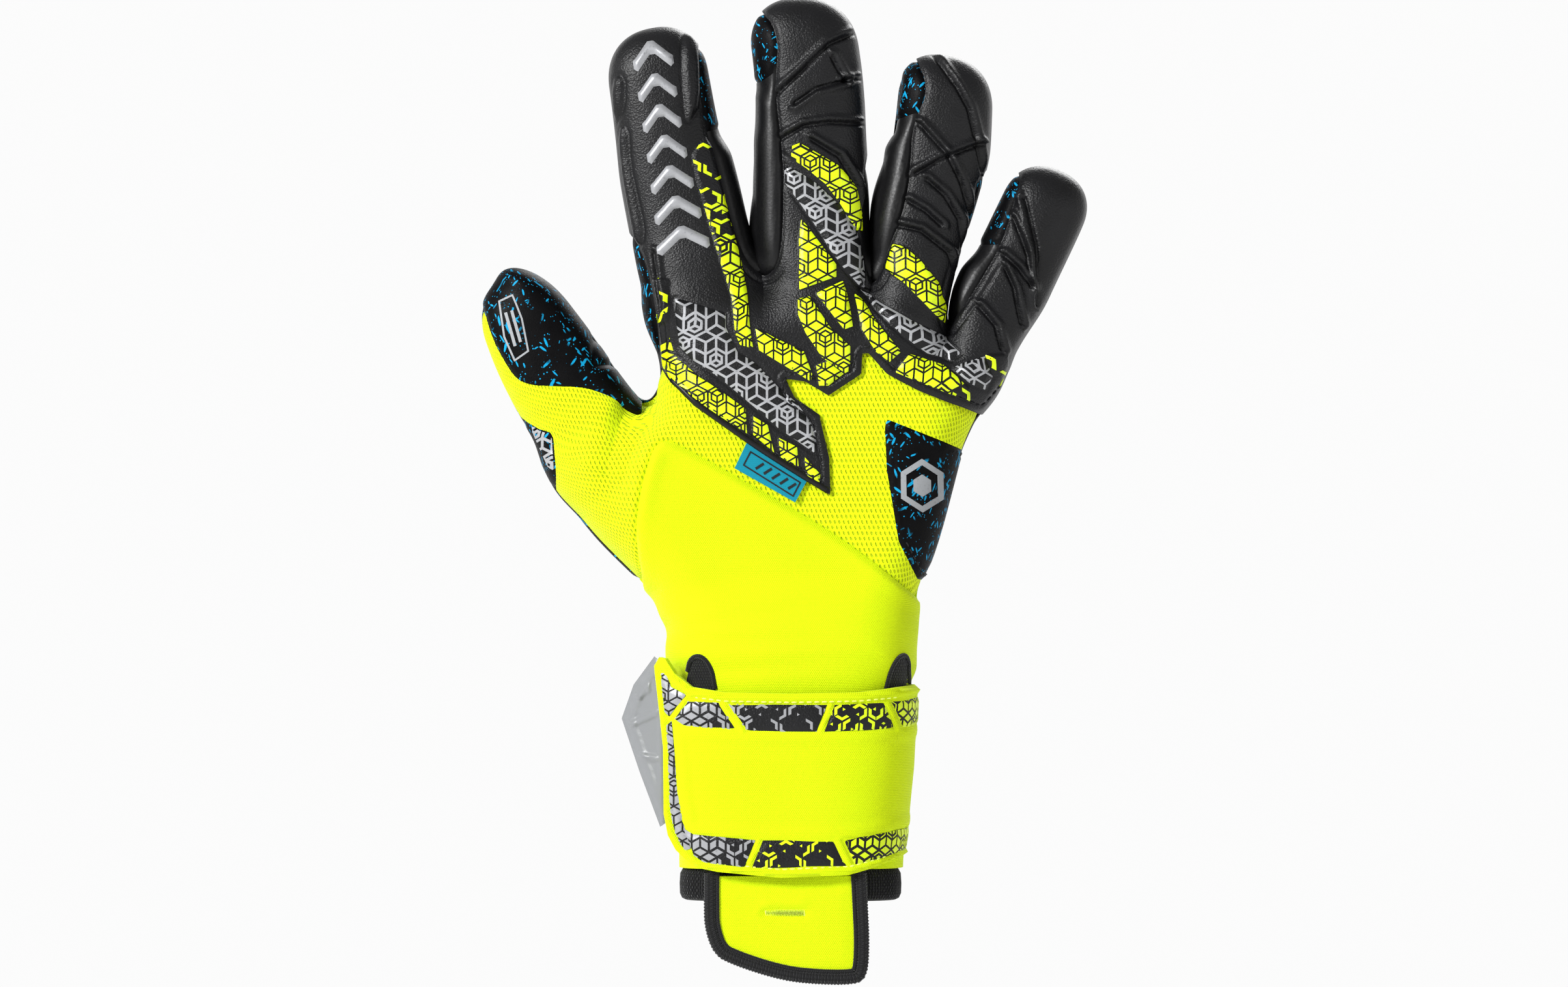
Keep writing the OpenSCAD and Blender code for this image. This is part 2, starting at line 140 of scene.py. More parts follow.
# ---------------------------------------------------------------- the glove's body as a field

class Digit:
    """One digit in its own frame: u across, v through, s from its knuckle to its tip."""

    def __init__(self, name, at, lean, joint, tip, cap, table):
        self.name, self.at, self.joint, self.tip, self.cap = name, at, joint, tip, cap
        self.sin, self.cos = math.sin(math.radians(lean)), math.cos(math.radians(lean))
        t = np.array(table, float)
        self.s = np.arange(-40, 100, 0.5)
        kernel = np.exp(-0.5 * (np.arange(-20, 21) * 0.5 / 3.0) ** 2)
        kernel /= kernel.sum()

        def column(k):
            raw = np.interp(self.s, t[:, 0], t[:, k])
            return np.convolve(np.pad(raw, 20, mode="edge"), kernel, mode="valid")
        left, right = column(1), column(2)
        self.mid, self.half = (left + right) / 2, (right - left) / 2
        self.depth, self.yc = column(3), column(4)

    def local(self, x, z):
        dx, dz = x - self.at[0], z - self.at[1]
        return dx * self.cos - dz * self.sin, dx * self.sin + dz * self.cos

    def point(self, u, s):
        return self.at[0] + u * self.cos + s * self.sin, self.at[1] - u * self.sin + s * self.cos

    def __call__(self, x, y, z):
        u, s = self.local(x, z)
        a, b = np.interp(s, self.s, self.half), np.interp(s, self.s, self.depth)
        c, yc = np.interp(s, self.s, self.mid), np.interp(s, self.s, self.yc)
        r = (np.abs((u - c) / a) ** OVAL + np.abs((y - yc) / b) ** OVAL) ** (1 / OVAL)
        top = np.clip(s - self.tip + self.cap, 0, None) / self.cap
        low = np.clip(-12 - s, 0, None) / 12        # its root ends 12 to 24 mm below the knuckle
        return ((r ** ROUND_END + top ** ROUND_END + low ** ROUND_END) ** (1 / ROUND_END)
                - 1) * 13.0


# Each row: s, left and right edge, half depth, middle's y.
DIGITS = [
    Digit("index", (-29, 194), -11.5, 27, 72.9, 15, [
        (-30, -16, 17, 16, 1), (-5, -17, 18.2, 16.5, 0), (0, -17.2, 18.0, 16, 0),
        (5, -17.2, 17.5, 15.4, .5), (10, -17.1, 17.1, 15, 1), (20, -17, 16.9, 14.4, 1),
        (30, -16.8, 16.4, 14, 1), (40, -15.7, 15.1, 13.8, 1), (50, -14.8, 15.2, 13.5, 1),
        (60, -14.1, 15.4, 13, 1), (80, -12.9, 15.2, 12.4, 1)]),
    Digit("middle", (6.3, 193.5), -1, 29, 81.6, 15, [
        (-30, -13, 15, 16, 1), (-4, -13.2, 17.6, 17, 0), (0, -14.4, 18.2, 16.6, 0),
        (5, -15.9, 17.9, 16, .5), (10, -17.3, 17.8, 15.4, 1), (20, -17.2, 17.8, 14.6, 1),
        (30, -16.8, 17.7, 14.2, 1), (40, -16, 17.3, 14, 1), (50, -15.2, 17.1, 13.8, 1),
        (60, -15.5, 16.4, 13.5, 1), (70, -16.6, 15.1, 13, 1), (90, -17.6, 12.9, 12.5, 1)]),
    Digit("ring", (38.7, 190.2), 9.5, 26, 67.8, 14, [
        (-30, -11, 11, 15, 1), (-8, -11.6, 11.6, 16, 0), (0, -12.6, 11.4, 15.6, 0),
        (8, -14.0, 12.3, 15, .5), (17, -15.6, 13.5, 14, 1), (24, -15.6, 14.4, 13.6, 1),
        (32, -14.5, 15.2, 13.4, 1), (40, -13.7, 16, 13.2, 1), (50, -14.2, 14.8, 13, 1),
        (60, -15, 13.4, 12.6, 1), (75, -16, 12, 12, 1)]),
    Digit("little", (61.4, 172.9), 23.5, 21, 53.6, 12, [
        (-30, -9, 9, 13, 1), (-10, -10.4, 9, 14.4, 0), (-2, -12.2, 9.3, 14.8, 0),
        (3, -13.8, 9.9, 14.2, .5), (8, -14.9, 10.9, 13.6, 1), (14, -14.5, 12, 13, 1),
        (20, -13.5, 12.0, 12.6, 1), (30, -13, 12.4, 12.4, 1), (40, -12.6, 12.7, 12.2, 1),
        (50, -12, 12.4, 11.6, 1), (65, -11, 11.8, 11, 1)]),
    Digit("thumb", (-61.5, 145.7), -25.4, 20, 50.2, 15, [
        (-30, -15, 13, 15, 3), (-10, -17, 15.6, 15.5, 2), (0, -17.4, 16.2, 15.4, 2),
        (5, -17.5, 15.2, 15, 2), (10, -18.5, 14, 14.6, 2), (18, -18.8, 12.9, 14.2, 2),
        (25, -18.8, 11.7, 14, 2), (32, -18.4, 10.2, 13.6, 2), (40, -17.6, 8.5, 13, 2),
        (60, -15.5, 4, 12, 2)]),
]
DIGIT = {d.name: d for d in DIGITS}

HAND = Region([
    (34.6, 66), (35.4, 80), (37.4, 88), (39.9, 96), (43.2, 104), (46, 112), (50.2, 128),
    (52.2, 136), (55.9, 144), (60, 152), (63, 160), (64.8, 165), (57.4, 169), (49, 167.5),
    (44, 178), (34, 184), (25.4, 183.5), (16, 188), (2, 188), (-7, 185.5), (-14, 188), (-30, 190),
    (-42.5, 184), (-42, 176), (-40.4, 168), (-38.8, 160), (-41, 153), (-48, 145), (-60, 142),
    (-73.6, 136), (-70.4, 128), (-65.4, 120), (-58.8, 112), (-51.2, 104), (-44.0, 96), (-38.2, 88),
    (-34.4, 80), (-33.8, 66)], 2, pad=30)
HALF_HAND = 19.4      # half the hand's depth
SIDE_R = 15.5         # radius of its rounded sides
HAND_Y = 0.6


# The wrist's half width and half depth: the strap pulls it in below z = 64.
WRIST_Z = [-20, 0, 20, 45, 61, 68, 76, 90]
WRIST_A = [32.6, 33, 33.8, 34.2, 34.2, 33.4, 33.0, 33.6]
WRIST_B = [21.5, 22, 23, 23.6, 23.8, 24.4, 24.2, 21.5]


def wrist_field(x, y, z):
    a = np.interp(z, WRIST_Z, WRIST_A)
    b = np.interp(z, WRIST_Z, WRIST_B)
    r = (np.abs(x - 0.7) / a) ** CUFF_OVAL + (np.abs(y) / b) ** CUFF_OVAL
    top = np.clip(z - 80, 0, None) / 14
    return ((r ** (ROUND_END / CUFF_OVAL) + top ** ROUND_END) ** (1 / ROUND_END) - 1) * 22


def ball(x, y, z, at, radii, turn=0.0):
    """A ball with three radii, turned about Y."""
    c, s = math.cos(turn), math.sin(turn)
    dx, dz = x - at[0], z - at[2]
    u, w = dx * c - dz * s, dx * s + dz * c
    return (np.sqrt((u / radii[0]) ** 2 + ((y - at[1]) / radii[1]) ** 2
                    + (w / radii[2]) ** 2) - 1) * min(radii)


def field(x, y, z, hand2=None):
    d2 = HAND(x, z) if hand2 is None else hand2
    thin = HALF_HAND - 2.2 * ramp(z, 150, 190) * ramp(x, 30, 64) - 1.5 * ramp(-x, 40, 74)
    q1 = np.clip(d2 + SIDE_R, 0, None)
    q2 = np.clip(np.abs(y - HAND_Y) - (thin - SIDE_R), 0, None)
    h = np.sqrt(q1 * q1 + q2 * q2) - SIDE_R
    h = smin(h, ball(x, y, z, (-44, 7, 122), (17, 14.5, 31), -0.75), 7)      # heel of the thumb
    h = smin(h, ball(x, y, z, (26, 9, 118), (15, 12.5, 30), 0.1), 7)         # heel of the palm
    h = smin(h, wrist_field(x, y, z), 12)
    h = smin(h, ball(x, y, z, (-9.2, 3, 188.6), (6, 10, 6.5)), 3)            # two finger webs
    h = smin(h, ball(x, y, z, (25, 3, 187.6), (5.5, 10, 6.5)), 3)
    h = smin(h, ball(x, y, z, (-82.8, 0, 188.6), (3.6, 6, 2.0), 0.45), 0.8)  # the thumb's tip
    return smin(h, np.minimum.reduce([digit(x, y, z) for digit in DIGITS]), 6.5)


def gradient(P, e=0.25):
    x, y, z = P.T
    g = np.stack([field(x + e, y, z) - field(x - e, y, z), field(x, y + e, z) - field(x, y - e, z),
                  field(x, y, z + e) - field(x, y, z - e)], axis=1) / (2 * e)
    return g


def snap_to_field(P, rounds=2):
    for _ in range(rounds):
        f, g = field(*P.T), gradient(P)
        P = P - (f / np.maximum((g * g).sum(axis=1), 0.05))[:, None] * g
    g = gradient(P)
    return P, g / np.linalg.norm(g, axis=1)[:, None]


def surface_nets(f, origin, h):
    """Quads round the zero of f, one vertex for each cell that it crosses."""
    neg = f < 0
    shape = np.array(f.shape)
    cells, points, quads = [], [], []
    for ax in range(3):
        b, c = (ax + 1) % 3, (ax + 2) % 3
        lo = [slice(None)] * 3; hi = [slice(None)] * 3
        lo[ax], hi[ax] = slice(None, -1), slice(1, None)
        idx = np.argwhere(neg[tuple(lo)] != neg[tuple(hi)])
        step = np.zeros(3, int); step[ax] = 1
        f0, f1 = f[tuple(idx.T)], f[tuple((idx + step).T)]
        p = idx + (f0 / (f0 - f1))[:, None] * step
        eb = np.zeros(3, int); eb[b] = 1
        ec = np.zeros(3, int); ec[c] = 1
        ring = [np.ravel_multi_index(tuple((idx - o).T), tuple(shape))
                for o in (0 * eb, eb, eb + ec, ec)]
        quad = np.stack(ring, axis=1)
        flip = ~neg[tuple(idx.T)]
        quad[flip] = quad[flip][:, ::-1]
        quads.append(quad)
        for r in ring:
            cells.append(r)
            points.append(p)
    cells, points, quads = np.concatenate(cells), np.concatenate(points), np.concatenate(quads)
    ids, back = np.unique(cells, return_inverse=True)
    count = np.bincount(back)
    verts = np.stack([np.bincount(back, weights=points[:, k]) / count for k in range(3)], axis=1)
    return origin + h * verts, np.searchsorted(ids, quads)


GRID = 0.85            # the side of a cell
OUTSIDE = 1.0                                     # closes the field at the grid's lower end
low, high = np.array([-97.0, -27.0, 2.0]), np.array([96.0, 29.0, 279.0])
gx, gy, gz = [np.arange(low[k], high[k] + GRID, GRID) for k in range(3)]
X, Z = np.meshgrid(gx, gz, indexing="ij")
hand2 = HAND(X, Z)
values = np.empty((len(gx), len(gy), len(gz)), np.float32)
for j, y in enumerate(gy):
    values[:, j, :] = field(X, np.full(X.shape, y), Z, hand2)
values[:, :, 0] = OUTSIDE
P, Q = surface_nets(values, low, GRID)
del values
d13 = np.linalg.norm(P[Q[:, 0]] - P[Q[:, 2]], axis=1)
d24 = np.linalg.norm(P[Q[:, 1]] - P[Q[:, 3]], axis=1)
first = d13 < d24
T = np.concatenate([np.where(first[:, None], Q[:, [0, 1, 2]], Q[:, [0, 1, 3]]),
                    np.where(first[:, None], Q[:, [0, 2, 3]], Q[:, [1, 2, 3]])])
P, N = snap_to_field(P)


# ---------------------------------------------------------------- cutting the body into panels

def sides_of(T):
    return np.concatenate([T[:, [0, 1]], T[:, [1, 2]], T[:, [2, 0]]])


def split(P, T, phi, mask=None):
    """Cuts the triangles of T that phi changes sign in, along its zero."""
    phi = np.where(np.abs(phi) < 0.06, 0.0, phi)
    s = np.sign(phi).astype(int)
    t = s[T]
    mixed = (t.min(axis=1) < 0) & (t.max(axis=1) > 0)
    if mask is not None:
        mixed &= mask
    keep, cut = T[~mixed], T[mixed]
    if not len(cut):
        return P, T
    edges = sides_of(cut)
    cross = s[edges[:, 0]] * s[edges[:, 1]] < 0
    key = np.sort(edges, axis=1)
    key = key[:, 0].astype(np.int64) * len(P) + key[:, 1]
    ids, back = np.unique(key[cross], return_inverse=True)
    a, b = ids // len(P), ids % len(P)
    w = (phi[a] / (phi[a] - phi[b]))[:, None]
    new = P[a] + w * (P[b] - P[a])
    at = np.full(len(edges), -1)
    at[cross] = len(P) + back
    at = at.reshape(3, -1).T                      # new vertex on each side of each triangle
    out = [keep]
    n = (at >= 0).sum(axis=1)
    one, m1 = cut[n == 1], at[n == 1]
    for k in range(3):                            # one side cut: the far corner is on the line
        r = m1[:, k] >= 0
        v = np.roll(one[r], -k, axis=1)
        e = m1[r, k]
        out += [np.stack([v[:, 0], e, v[:, 2]], 1), np.stack([e, v[:, 1], v[:, 2]], 1)]
    two, m2 = cut[n == 2], at[n == 2]
    for k in range(3):                            # two sides cut: they meet at one corner
        r = (m2[:, k] >= 0) & (m2[:, (k + 2) % 3] >= 0)
        v = np.roll(two[r], -k, axis=1)
        e, g = m2[r, k], m2[r, (k + 2) % 3]
        out += [np.stack([v[:, 0], e, g], 1), np.stack([e, v[:, 1], v[:, 2]], 1),
                np.stack([e, v[:, 2], g], 1)]
    return np.vstack([P, new]), np.concatenate(out)


PANEL_LINE = [
    (-38.8, 162.6), (-39.2, 170), (-40.4, 180), (-42.2, 190), (-45.2, 199), (-50, 206),
    (-58, 214), (-62, 272), (-30, 284), (-28.4, 260), (-27.8, 250), (-27.4, 241.8),
    (-25.4, 232.6), (-21.3, 218), (-16.8, 202), (-13.6, 194.4), (-9.6, 190.4), (-6.2, 190),
    (-3.4, 192.8), (-2.2, 198.3), (-1.6, 207.8), (-1.6, 219.6), (-2.2, 232.3), (-3.4, 241),
    (-3.8, 250.5), (-3.4, 256), (-3.2, 261), (-4.8, 267), (-7.6, 270), (-12, 282), (34, 284),
    (34, 236), (23.6, 230), (22.2, 220), (21.9, 211.7), (22.3, 199.9), (23.1, 192),
    (25.2, 187.6), (27.3, 188.4), (29.2, 192.8), (31.4, 199.9), (34.2, 207), (36.6, 216.5),
    (37.4, 225), (38, 234), (39.8, 240), (42.0, 245), (41.7, 250.5), (39.9, 253.8),
    (37, 268), (66, 266), (66, 226), (57.8, 222), (54.6, 208), (51.2, 195), (48.4, 184),
    (47.6, 176.5), (49, 173.6), (51.4, 177), (54.6, 181.7), (59.1, 188.8), (65.0, 199),
    (69.2, 211.7), (71.4, 220.4), (70, 236), (100, 232), (100, 190), (80, 170), (66, 155.5),
    (61.2, 149.8), (58.4, 148), (47.2, 151.8), (39, 155.1), (29.8, 160), (22.4, 168.4),
    (22, 160), (12, 153.4), (5, 157.6), (-1.2, 158.6), (1.6, 152.8), (9.1, 147.6),
    (12.2, 134.4), (12.6, 122.8), (1.6, 129.4), (-10, 136.8), (-20.8, 144.4), (-29, 150.2),
    (-36.5, 158.4)]
PANEL = Region([p for p in PANEL_LINE for _ in range(2 if p[1] < 164 else 1)], 1)
NEOPRENE = Region([
    (70, 0), (70, 66), (39.4, 91.4), (22.4, 105.2), (8, 114.8), (-11.2, 125.8), (-30.4, 136.6),
    (-37.0, 139.8), (-40.6, 138.4), (-42.6, 134), (-45, 125.8), (-46.6, 116), (-46.6, 108),
    (-44.6, 96.5), (-46, 90), (-70, 84), (-70, 0)], 1)
THUMB_LATEX = Region([
    (-98, 184), (-93.9, 180), (-91.2, 170.6), (-86.4, 162), (-83.4, 158.2), (-79, 156.6),
    (-73, 156.4), (-64.4, 156.2), (-60.1, 155.4), (-53.7, 152.7), (-46.9, 148.7),
    (-45.2, 149.4), (-45.2, 153), (-50, 166), (-60, 200), (-98, 204)], 1)
TIP_LATEX = [
    Region([(-28.4, 260), (-27.6, 241.8), (-25.8, 234), (-14, 238), (-14, 268), (-28, 268)]),
    Region([(-16, 248.6), (-8.6, 249.6), (-5, 252), (-3.8, 257), (-3.2, 261), (-4.8, 267),
            (-7.6, 270), (-11, 276), (-18, 272)]),
    Region([(26, 237), (34, 238.4), (37.6, 239.6), (39.8, 240.2), (42.0, 245), (41.7, 250.5),
            (39.9, 253.8), (38, 262), (26, 260)]),
    Region([(54, 200), (63.4, 199.6), (65.6, 200.5), (69.2, 211.7), (71.4, 220.4), (71, 230),
            (54, 228)]),
    Region([(-60, 163), (-38.6, 163), (-39.2, 170), (-40.4, 180), (-42.2, 190), (-45.2, 199),
            (-50, 206), (-60, 208)]),
]
OUTER_PATCH = Region([
    (29.8, 146.2), (47, 139.4), (60, 134), (52, 112), (42.6, 97.2), (39.4, 97.2), (33.4, 108.8),
    (29.8, 130.6), (29.2, 143.8)])
THUMB_PATCH = Region([
    (-86, 150), (-80.4, 145.4), (-76.6, 143.2), (-73.2, 142.2), (-72.3, 140.6), (-71.5, 130),
    (-71.5, 122), (-86, 122)])
TUBES = Region([(-36, 186), (-9, 176), (25, 172), (49, 160), (60, 164), (110, 180), (110, 300),
                (-50, 300), (-50, 208), (-36, 200)])
SIDE_Y = 5.0          # where back and palm meet on the glove's sides
CUFF_TOP = 84         # the back is all neoprene below this
HEEL = Region([(-100, 96), (-52, 99), (-20, 92), (20, 92), (52, 99), (100, 96), (100, 300),
               (-100, 300)], 2, step=1.0)
WRIST_CUT = 9.0       # the body's open end

xz = lambda P: (P[:, 0], P[:, 2])
back = lambda P, T: P[T, 1].min(axis=1) < SIDE_Y
P, T = split(P, T, P[:, 2] - WRIST_CUT)
T = T[P[T, 2].mean(axis=1) > WRIST_CUT]
P, T = split(P, T, P[:, 1] - SIDE_Y)
for region in [PANEL, NEOPRENE, THUMB_LATEX, *TIP_LATEX, OUTER_PATCH, THUMB_PATCH]:
    P, T = split(P, T, region(*xz(P)), back(P, T))
P, T = split(P, T, HEEL(*xz(P)), P[T, 1].max(axis=1) > SIDE_Y)
KNUCKLE, HALFWAY = 0.0, {d.name: 0.5 * d.joint for d in DIGITS}


def owner(P):
    """Which digit's surface each point is on, and its s there."""
    f = np.stack([d(*P.T) for d in DIGITS])
    k = f.argmin(axis=0)
    s = np.stack([d.local(P[:, 0], P[:, 2])[1] for d in DIGITS])
    return k, s[k, np.arange(len(P))]


def part_names(k, s):
    """The moving part that each point lies on, from what owner gives."""
    names = np.full(len(k), "hand", object)
    for i, d in enumerate(DIGITS):
        mine = (k == i) & (s > KNUCKLE)
        names[mine] = d.name + "_low"
        names[mine & (s > HALFWAY[d.name])] = d.name + "_up"
    return names


for i, d in enumerate(DIGITS):
    for cut_at in (KNUCKLE, HALFWAY[d.name]):
        k, s = owner(P)
        P, T = split(P, T, s - cut_at, (k[T] == i).all(axis=1))
C = P[T].mean(axis=1)
part = part_names(*owner(C))
is_back = C[:, 1] < SIDE_Y
cx, cz = C[:, 0], C[:, 2]
label = np.full(len(T), "knit", object)
label[TUBES(cx, cz) < 0] = "tube"
label[NEOPRENE(cx, cz) < 0] = "neoprene"
label[THUMB_LATEX(cx, cz) < 0] = "latex"
for region in TIP_LATEX:
    label[region(cx, cz) < 0] = "latex"
label[THUMB_PATCH(cx, cz) < 0] = "thumb_patch"
label[OUTER_PATCH(cx, cz) < 0] = "outer_patch"
over_panel = (TIP_LATEX[2](cx, cz) < 0) & (cx < 36.5)    # the middle fingertip's latex
label[(PANEL(cx, cz) < 0) & ~over_panel] = "panel"
label[~is_back] = np.where(HEEL(cx, cz) < 0, "palm", "neoprene")[~is_back]
label[is_back & (cz < CUFF_TOP)] = "neoprene"


# ---------------------------------------------------------------- relief of each panel

YELLOW = [Region(p) for p in (
    [(-30, 226.8), (-28.4, 218.8), (-24.6, 205), (-21, 192.6), (-17.8, 182.6), (-16.6, 172.6),
     (-15, 168.8), (-11, 167.8), (-12.2, 175), (-13.4, 183.8), (-15.2, 192.6), (-18.4, 205),
     (-21.6, 220), (-23.4, 228.8), (-26.6, 232.6)],
    [(-41.6, 189.6), (-36.1, 189.1), (-36.1, 181.6), (-35.7, 171.7), (-34, 165.9),
     (-27.4, 159.2), (-19, 153.4), (-13.3, 149.3), (-12.9, 141.8), (-20.8, 146.8),
     (-28.2, 151.8), (-34.8, 157.6), (-37.6, 162.6), (-38.2, 169.2), (-40.2, 181.6)],
    [(-11.2, 147.2), (-6.6, 144.4), (-4.6, 136), (-11, 141.4)],
    [(-3.4, 140.6), (2.4, 137.7), (2.9, 131.5), (-2.5, 134.4)],
    [(4.5, 134.8), (9.5, 129.4), (9.2, 126.8), (5.4, 128.6)],
    [(-10.4, 173.8), (4.5, 166.8), (7, 160), (6.6, 157.6), (-9.2, 167.2)],
    [(8.2, 162.6), (11.6, 163.8), (16.6, 160), (12, 156.4), (9.1, 156.4)],
    [(2.8, 182.4), (6.2, 183.3), (12.4, 174.2), (18.6, 168.4), (18.6, 160.9), (17.4, 160),
     (10, 165), (5, 172.6), (2.6, 178.4)],
    [(8.2, 184.2), (15.8, 188.3), (17, 184.2), (19.2, 174.2), (16.6, 173.4), (14, 176.6)],
    [(3.7, 207), (5, 205.7), (14, 193.2), (14, 189.6), (3.4, 185.4), (3.1, 200.7)],
    [(19, 184.2), (21.2, 182.4), (26.5, 175.8), (34, 166.7), (30.6, 163.6), (26.5, 166.7),
     (22, 173.4)],
    [(36.4, 165.9), (47.2, 161.8), (54.7, 156), (54.7, 151.8), (43.1, 156), (32.3, 160.5)],
    [(-2.0, 228.4), (3.3, 230.6), (8.4, 227.6), (14.8, 223.6), (19.6, 217.3), (21.4, 209.4),
     (21.3, 203.8), (19.6, 203.8), (17.6, 207.8), (14.8, 212.6), (10.8, 218.1), (5.3, 222.8),
     (0.6, 226)],
    [(32.2, 199.5), (35.4, 198.7), (40.1, 194.4), (44.8, 188), (47.0, 180.1), (46.4, 175.8),
     (44, 177.8), (40.1, 182.5), (35.4, 187.6), (30.2, 192)],
    [(59.5, 165.5), (65.8, 166.7), (66.2, 162.7), (63.8, 156.4), (62.2, 159.6)])]
SILVER = [Region(p) for p in (
    [(-34.7, 182.9), (-19.5, 178.2), (-19.4, 174.2), (-15.8, 166.7), (-10, 163), (-3.4, 156),
     (1.6, 151.8), (5, 147.6), (8.2, 142.6), (8.1, 135.6), (-3.4, 143.5), (-10, 149.3),
     (-20.8, 158.4), (-29, 164.2), (-32.8, 168.4), (-34, 175.8)],
    [(-1.4, 224), (2.2, 222.4), (8.4, 218.1), (14.8, 211.8), (19.6, 204.6), (22.1, 194.4),
     (22.6, 186), (20.4, 187.2), (16.4, 192), (12.4, 197.5), (8.4, 204.6), (3, 212.6),
     (-1.2, 218.5)],
    [(21.1, 185.6), (29, 180.9), (37, 176.2), (47.2, 171.4), (52.8, 165.9), (49.6, 163.5),
     (41.7, 165.9), (33.8, 172.2), (25.8, 180.1)],
    [(52.8, 162.7), (59.5, 165.1), (61.4, 159.6), (59.5, 155.6), (55.1, 157.2), (49.6, 161.2)])]
RIDGES = [Region(p, 1) for p in (
    [(-53.8, 250.5), (-49.9, 251.8), (-49.8, 241.8), (-51.8, 237.9), (-53, 233.9)],
    [(-51.8, 235.2), (-48.8, 236.5), (-48.1, 224.6), (-46.2, 215.3), (-43.8, 204.7),
     (-44.2, 199.5), (-46.5, 199.7), (-48.3, 208.7), (-50.7, 221.9)],
    [(-33, 265.5), (-29.9, 264.5), (-28.2, 259.1), (-27.6, 242.5), (-31.2, 236), (-32.4, 240.5),
     (-33.4, 255.1)])]
# Sewn creases on the finger backs, each with a soft ridge on its left (+) or right (-).
CREASES = [
    ([(-3.4, 245.6), (4, 252.6), (12, 260.8), (18.6, 263.9), (25, 264.4)], 1),
    ([(1.8, 242.8), (8, 247.2), (16.4, 249.7)], -1), ([(12.8, 256.8), (16.4, 249.7)], 1),
    ([(16.4, 249.7), (25, 250.8)], 1),
    ([(-2, 231.9), (4.5, 235.8), (12, 236.9), (26, 236.2)], 1),
    ([(6.9, 231.6), (14.8, 226.6), (20.5, 217), (22.4, 206)], 1),
    ([(44.4, 256.5), (51.2, 247.3), (54.4, 241.4), (56.7, 230.7), (58.2, 222.4)], 1),
    ([(40.1, 236.4), (48.6, 226.6), (52, 219.2), (55.2, 207.6)], 1),
    ([(38.8, 221.2), (47, 226), (58, 230.5)], 1),
    ([(42.1, 219.4), (47.4, 214.7), (51.4, 207.4), (52.2, 199)], 1),
    ([(36.8, 212.7), (41.6, 209.8), (46, 205.6)], 1),
    ([(33.6, 205.2), (40.3, 203.6), (48, 197.3), (51.2, 188)], 1),
    ([(72.4, 213.6), (75.5, 199.1), (75.1, 181.7)], -1),
    ([(68.9, 207.4), (73.0, 196), (73.5, 187)], 1),
    ([(66.0, 196.2), (70, 192.5), (73.6, 187.4)], 1),
    ([(66.0, 192.4), (68.6, 186.4), (70.2, 176)], 1),
    ([(58.2, 180.3), (62.9, 174.6), (64.3, 168)], 1),
    ([(-41, 197), (-39.6, 186), (-38.2, 178)], 1),
]
PANEL_HEIGHT = 1.35    # the panel's face over the body


def bump(d, width):
    return np.exp(-(d / width) ** 2)


def soft_folds(P):
    """Shallow folds of the cloth, the same on every panel."""
    x, y, z = P.T
    h = 0.22 * np.sin(0.16 * x + 0.09 * z + 1.3 * np.sin(0.05 * z)) * np.sin(0.07 * z - 0.03 * x)
    fold = line_distance([(-45.5, 150), (-50, 141), (-53, 131), (-54, 120)], x, z)[0]
    h += (-3.0 * bump(fold, 5.0) + 0.6 * bump(fold - 9, 4)) * ramp(z, 112, 136) * (y < 4)
    for at, tilt, deep in ((88, 0.10, 0.7), (79, -0.06, 0.8), (71.5, 0.03, 0.5)):
        h -= deep * bump(z - at - tilt * x - 1.5 * np.sin(0.06 * x), 2.6) * ramp(-x, -38, 30)
    return h


def panel_relief(x, z):
    """Height of the embossed panel over the body, from X and Z only."""
    h = np.full(x.shape, PANEL_HEIGHT)
    for region in YELLOW:
        h += 0.75 * ramp(-region(x, z), -0.35, 0.9)
    for region in SILVER:
        d = -region(x, z)
        h += 0.9 * ramp(d, -0.3, 2.4) - 0.35 * bump(d + 0.3, 0.5)
    for region in RIDGES:
        d = -region(x, z)
        h += 1.3 * ramp(d, -0.3, 2.0) - 0.4 * bump(d + 0.2, 0.6)
    for points, lean in CREASES:
        d, _, side = line_distance(points, x, z)
        d = d * side * lean
        reach = bump(np.maximum(np.abs(d) - 3, 0), 1.5)
        h += reach * (0.95 * bump(d - 1.5, 0.9) - 1.0 * bump(d, 0.55))
    d = np.abs(PANEL(x, z))
    low = ramp(-z, -196, -188)                       # the sewn margin along the knuckle panel
    h -= low * 0.45 * bump(d - 2.6, 0.5)
    h -= 0.55 * bump(d, 0.8)
    return h


